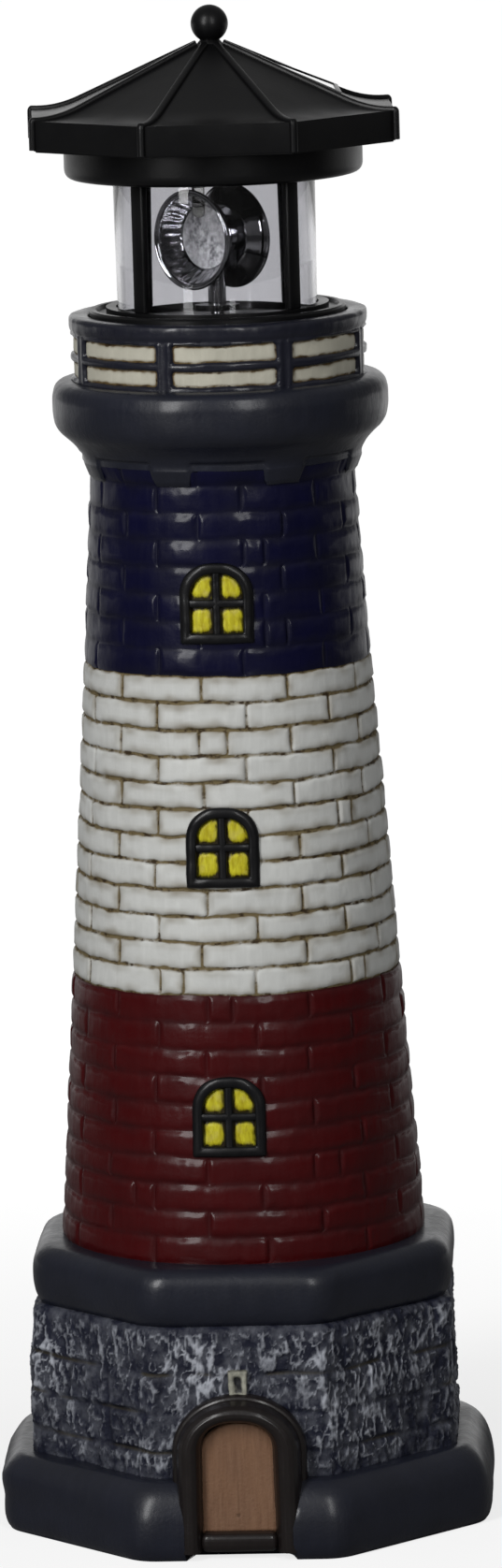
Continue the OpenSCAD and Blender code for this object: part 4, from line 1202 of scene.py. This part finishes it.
bm = bmesh.new()
for low, high in panel_rows:
    foot = z_gallery + low * gallery_h - 1.0
    top = z_gallery + high * gallery_h + 1.0
    steps = [foot + (top - foot) * i / 16 for i in range(17)]
    lathe([(panel_face, z) for z in steps] + [(42.4, top), (42.4, foot)], 480, bm=bm)
joint_of = store(bm, "joint")
for vert in bm.verts:
    x, y, z = vert.co
    if reach_of(vert.co) < 42.8:
        continue
    angle = direction(vert.co)
    inside = pocket_depth(angle, z, (x, y, z))
    vert[joint_of] = 1.0 - smooth_step(0.0, 1.3, inside + 0.4 * lumps((x, y, z), 2.0, 5.0))
    r = panel_face + 0.14 * lumps((x, y, z), 4.0, 7.0) - 0.25 * (1.0 - smooth_step(0.0, 0.8, inside))
    vert.co = turned(angle, r, 0.0, z)
make_piece(bm, "railing_panel_rings", cream_paint, "tower", ["railing_panels"], 60.0)


# ---- Lantern ----

def rounded(points, steps):
    """An outline whose corners (radius, height, fillet) are rounded."""
    outline = []
    count = len(points)
    for i, (r, z, fillet) in enumerate(points):
        here = Vector((r, z))
        if fillet <= 0.0:
            outline.append((r, z))
            continue
        before = (Vector(points[i - 1][:2]) - here).normalized()
        after = (Vector(points[(i + 1) % count][:2]) - here).normalized()
        for k in range(steps + 1):
            t = k / steps
            a = here + before * fillet * (1.0 - t) ** 2 + after * fillet * t ** 2
            outline.append((a.x, a.y))
    return outline


bm = lathe(rounded([(26.7, 404.7, 0.3), (44.4, 404.7, 3.2), (44.4, z_fascia, 0), (42.4, z_fascia, 0),
                    (42.4, 407.2, 0), (26.7, 407.2, 0.3)], 8), 192)
make_piece(bm, "collar_ring", black_plastic, "lantern", ["collar"])

ball = [(0.0, z_apex), (3.7, z_apex), (3.5, z_apex + 0.4), (3.1, z_apex + 0.8), (2.9, z_apex + 1.1)]
start = -math.acos(2.9 / 5.55)
for i in range(1, 29):
    a = mix(start, math.pi / 2, i / 28)
    ball.append((max(0.0, 5.55 * math.cos(a)), z_apex + 5.85 + 5.55 * math.sin(a)))
bm = lathe(ball, 64, closed=False)
make_piece(bm, "finial_ball", black_plastic, "lantern", ["finial"], 50.0)

bm = bmesh.new()
for angle in (45, 135, 225, 315):
    block(bm, (31.5, 0.0, (366.2 + z_collar) / 2), (2.5, 4.8, z_collar - 366.2 + 0.2), 0.6, angle)
make_piece(bm, "cage_post_bars", black_plastic, "lantern", ["cage_posts"], 50.0)

# The tube's walls, drawn in a little towards the foot, with rounded ends inside their sockets
tube_walls = [(29.72, 363.6, 0.2), (30.1, 405.6, 0.2), (28.5, 405.6, 0.2), (28.12, 363.6, 0.2)]
bm = lathe(rounded(tube_walls, 3), 192)
make_piece(bm, "clear_tube", clear_plastic, "lantern", ["lamp_tube"])

roof_turn = 1.5
roof_r = 57.8
flare_r = 42.2
roof_slope = 0.435
eave_top = 423.9
flare_h = z_apex - roof_slope * (flare_r - 4.0) - eave_top
fascia_foot = 415.0


def roof_z(r):
    """Height of the roof's corner line at radius r: straight, then flaring to the eave."""
    if r <= flare_r:
        return z_apex - (r - 4.0) * roof_slope
    run = roof_r - flare_r
    u = (r - flare_r) / run
    drop = roof_slope * run
    return eave_top + flare_h - drop * u + (drop - flare_h) * u * u


line = [4.0 + (flare_r - 4.0) * i / 6 for i in range(6)]
line += [flare_r + (roof_r - flare_r) * i / 10 for i in range(11)]
inner_r = roof_r - 1.95
shell = [(0.0, z_apex)] + [(r, roof_z(r)) for r in line]
shell += [(roof_r, eave_top - 0.5), (roof_r, fascia_foot + 0.5), (roof_r - 0.2, fascia_foot),
          (roof_r - 1.8, fascia_foot), (inner_r, fascia_foot + 0.4)]
shell += [(min(r, inner_r), roof_z(r) - 1.7) for r in reversed(line)] + [(0.0, z_apex - 1.7)]
bm = lathe(shell, 96, closed=False)
for vert in bm.verts:
    r = reach_of(vert.co)
    if r < 1e-6:
        continue
    angle = direction(vert.co)
    t = math.radians((angle + 22.5) % 45.0 - 22.5)
    vert.co = turned(angle + roof_turn, r * math.cos(math.radians(22.5)) / math.cos(t), 0.0, vert.co.z)
for edge in bm.edges:
    edge.smooth = True
make_piece(bm, "roof_shell", black_plastic, "lantern", ["roof"], 22.0)

rib_path = [4.6 + (flare_r - 4.6) * i / 6 for i in range(6)]
rib_path += [flare_r + (roof_r - 0.1 - flare_r) * i / 10 for i in range(11)]
rib_path = [(r, roof_z(r) + 0.1) for r in rib_path]
rib_path += [(roof_r + 0.05, eave_top - 0.3), (roof_r + 0.1, eave_top - 1.2),
             (roof_r + 0.1, eave_top - 4.5), (roof_r + 0.1, fascia_foot + 0.3)]


def rib_place(corner):
    """Gives the places of a flat-topped rib that runs down one corner of the roof."""
    last = len(rib_path) - 1

    def place(u, w):
        i = min(last - 1, int(u * last))
        t = u * last - i
        a, b = Vector(rib_path[i]), Vector(rib_path[i + 1])
        before = Vector(rib_path[max(0, i - 1)])
        after = Vector(rib_path[min(last, i + 2)])
        middle = a.lerp(b, t)
        heading = (b - before).lerp(after - a, t).normalized()
        up = Vector((-heading.y, heading.x))
        if up.y < 0 and up.x < 0:
            up = -up
        swing = 2 * math.pi * w
        lift = math.copysign(abs(math.sin(swing)) ** 0.6, math.sin(swing))
        out = up * (lift * (1.0 if lift > 0 else 0.8))
        across = 1.1 * math.copysign(abs(math.cos(swing)) ** 0.6, math.cos(swing))
        return turned(corner, middle.x + out.x, across, middle.y + out.y)

    return place


bm = bmesh.new()
for k in range(8):
    rod(bm, 60, 12, rib_place(22.5 + 45.0 * k + roof_turn))
close_up(bm)
make_piece(bm, "roof_ribs", black_plastic, "lantern", ["roof"], 50.0)


# ---- Beacon ----

beacon_turn = -41.0


def bowl_outline(rim_r, rim_reach):
    """A bowl's outline as (radius, distance from the beacon's middle), from its back to its floor."""
    outside = [(8.2, 3.4), (9.0, 3.55), (9.6, 4.1)]
    for i in range(1, 9):
        t = i / 8
        r = mix(9.6, rim_r - 0.55, t) + 0.5 * math.sin(math.pi * t)
        outside.append((r, mix(4.1, rim_reach - 0.95, t)))
    rim = [(-0.25, -0.9), (-0.05, -0.68), (0.0, -0.43), (-0.05, -0.18), (-0.25, 0.0),
           (-0.55, 0.0), (-0.75, -0.18), (-0.9, -0.26), (-1.1, -0.13), (-1.35, -0.18),
           (-1.6, -0.53)]
    rim = [(rim_r + r, rim_reach + d) for r, d in rim]
    inside = []
    for i in range(1, 9):
        t = i / 8
        r = mix(rim_r - 1.6, 8.8, t) + 0.35 * math.sin(math.pi * t)
        inside.append((r, mix(rim_reach - 0.53, 4.5, t)))
    return [(0.0, 3.4)] + outside + rim + inside + [(8.5, 4.4), (0.0, 4.4)]


beacon_face = Matrix.Rotation(math.radians(90.0), 4, "X")
for name, turn, rim_r, rim_reach, drop in (("front_reflector", beacon_turn + 2.5, 14.1, 11.9, 0.0),
                                           ("rear_reflector", beacon_turn + 182.5, 14.1, 8.6, -0.6)):
    place = (Matrix.Translation((0, 0, z_beacon + drop)) @ Matrix.Rotation(math.radians(turn), 4, "Z")
             @ beacon_face)
    bm = lathe(bowl_outline(rim_r, rim_reach), 160, closed=False)
    for vert in bm.verts:
        x, y, z = vert.co
        r = reach_of(vert.co)
        slant = (r - 8.8) * (rim_reach - 5.0) / (rim_r - 10.4)
        if 9.2 < r < rim_r - 1.9 and z > 4.3 + slant * 0.55 and z < rim_reach - 0.6:
            wall = smooth_step(9.2, 10.0, r) * smooth_step(rim_r - 1.9, rim_r - 2.6, r)
            swing = math.atan2(y, x)
            # Broad and fine flutes run down the inside of the bowl
            flute = 1.0 + wall * (0.2 * math.cos(30 * swing) + 0.08 * math.cos(71 * swing)) / r
            vert.co = Vector((x * flute, y * flute, z))
    bmesh.ops.transform(bm, matrix=place, verts=bm.verts)
    make_piece(bm, name + "_bowl", chrome_plate, "beacon", [name], 60.0)
    lens = [(0.0, 4.45), (8.45, 4.45), (8.6, 4.75), (8.3, 4.95), (6.0, 4.8), (3.0, 4.72), (0.0, 4.7)]
    bm = lathe(lens, 96, closed=False)
    bmesh.ops.transform(bm, matrix=place, verts=bm.verts)
    make_piece(bm, name + "_lens", frosted, "beacon", [name], crease=50.0)


# ---- Pieces that keep the shape of the solids ----

kept_finishes = {
    "lantern_base": black_plastic, "soffit": black_plastic, "solar_frames": black_plastic,
    "rotor_hub": black_plastic, "bottom_cover": inner_plastic, "battery_holder": inner_plastic,
    "battery_hatch": inner_plastic, "solar_cells": solar_glass, "spindle": chrome_plate,
    "reflector_carrier": chrome_plate, "plate_screws": bright_steel, "motor": bright_steel,
    "idler_pin": bright_steel, "cover_screws": bright_steel, "battery_contacts": bright_steel,
    "hatch_screw": bright_steel, "switch_body": bright_steel, "motor_pinion": brass,
    "spindle_bushes": brass, "slip_rings": brass, "contact_brushes": brass,
    "gear_plate": gear_plastic, "idler_gear": gear_plastic, "spindle_gear": gear_plastic,
    "front_led": led_clear, "rear_led": led_clear, "battery": battery_wrap,
    "circuit_board": board_green, "switch_slider": switch_white,
}
for name, finish in kept_finishes.items():
    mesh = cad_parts[name].data
    mesh.materials.clear()
    mesh.materials.append(finish)


# ---- Floor, light and camera ----

def background_rays(tree):
    """Two values: 1 where the camera, a mirror or clear plastic looks, and 1 for the camera alone."""
    path = tree.nodes.new("ShaderNodeLightPath").outputs
    seen = larger(tree, path["Is Camera Ray"], path["Is Glossy Ray"])
    return larger(tree, seen, path["Is Transmission Ray"]), path["Is Camera Ray"]


bm = bmesh.new()
bmesh.ops.create_circle(bm, cap_ends=True, segments=96, radius=12.0)
mesh = bpy.data.meshes.new("floor")
bm.to_mesh(mesh)
bm.free()
floor = bpy.data.objects.new("floor", mesh)
bpy.context.scene.collection.objects.link(floor)
material, tree, shader = new_material("pale_floor")
mottle = spots(tree, 60.0, 2.0, 0.5)
tone = blend_colours(tree, mottle, (0.22, 0.22, 0.22, 1), (0.26, 0.26, 0.26, 1))
tree.links.new(tone, shader.inputs["Base Color"])
shader.inputs["Roughness"].default_value = 0.9
shader.inputs["Specular IOR Level"].default_value = 0.0
where = put(tree, "ShaderNodeTexCoord").outputs["Object"]
away = put(tree, "ShaderNodeVectorMath", {0: where}, operation="LENGTH").outputs["Value"]
seen, by_camera = background_rays(tree)
glow = times(tree, stretch(tree, away, 0.12, 0.6, 0.76, 0.97), by_camera)
behind = put(tree, "ShaderNodeSeparateXYZ", {"Vector": where}).outputs["Y"]
mirrored = times(tree, stretch(tree, behind, 0.3, 2.0, 0.0, 0.85), seen)
tree.links.new(larger(tree, glow, mirrored), shader.inputs["Emission Strength"])
shader.inputs["Emission Color"].default_value = (1, 1, 1, 1)
mesh.materials.append(material)

# The white backdrop hangs behind the object; the room in front of it is dim
world = bpy.data.worlds.new("plain_studio")
bpy.context.scene.world = world
world.use_nodes = True
tree = world.node_tree
tree.nodes.clear()
seen, by_camera = background_rays(tree)
aim = put(tree, "ShaderNodeTexCoord").outputs["Generated"]
ahead = put(tree, "ShaderNodeSeparateXYZ", {"Vector": aim}).outputs["Y"]
upward = put(tree, "ShaderNodeSeparateXYZ", {"Vector": aim}).outputs["Z"]
backdrop = times(tree, stretch(tree, ahead, 0.78, 0.93), stretch(tree, upward, 0.3, 0.5, 1.0, 0.0))
backdrop = times(tree, backdrop, seen)
dim = times(tree, stretch(tree, upward, -0.1, 0.8, 0.09, 0.27), seen)
room = plus(tree, stretch(tree, seen, 0.0, 1.0, 0.17, 0.0), dim)
white = larger(tree, backdrop, by_camera)
strength = larger(tree, room, white)
lit = put(tree, "ShaderNodeBackground", {"Color": (1, 1, 1, 1), "Strength": strength})
tree.links.new(lit.outputs[0], put(tree, "ShaderNodeOutputWorld").inputs[0])


lamp_aim = Vector((0, 0, 0.25))


def soft_lamp(name, azimuth, elevation, distance, width, height, power):
    """A soft box seen from the object at an azimuth from the front, positive to the right."""
    data = bpy.data.lights.new(name, "AREA")
    data.shape = "RECTANGLE"
    data.size = width
    data.size_y = height
    data.energy = power
    lamp = bpy.data.objects.new(name, data)
    bpy.context.scene.collection.objects.link(lamp)
    a, e = math.radians(azimuth), math.radians(elevation)
    lamp.location = (distance * math.sin(a) * math.cos(e), -distance * math.cos(a) * math.cos(e),
                     lamp_aim.z + distance * math.sin(e))
    lamp.rotation_euler = (lamp_aim - lamp.location).to_track_quat("-Z", "Y").to_euler()


soft_lamp("left_box", -35.0, 26.0, 1.7, 0.35, 1.25, 22.0)
soft_lamp("right_box", 18.0, 26.0, 1.8, 0.22, 1.1, 9.8)

camera_data = bpy.data.cameras.new("photo_camera")
camera = bpy.data.objects.new("photo_camera", camera_data)
bpy.context.scene.collection.objects.link(camera)
bpy.context.scene.camera = camera
# The photo's camera: 2.5 m in front, 0.63 m up, looking down, with the picture turned a little
camera_data.lens = 193.68
camera_data.sensor_width = 36.0
camera_data.clip_start = 0.05
camera_data.clip_end = 60.0
camera.location = (0.0, -2.5, 0.63)
look_down = math.radians(9.29)
look_aside = math.radians(-0.135)
picture_turn = math.radians(-1.65)
aim = (Matrix.Rotation(look_aside, 4, "Z") @ Matrix.Rotation(math.pi / 2 - look_down, 4, "X")
       @ Matrix.Rotation(picture_turn, 4, "Z"))
camera.rotation_mode = "QUATERNION"
camera.rotation_quaternion = aim.to_quaternion()

bpy.context.scene.view_settings.view_transform = "Standard"
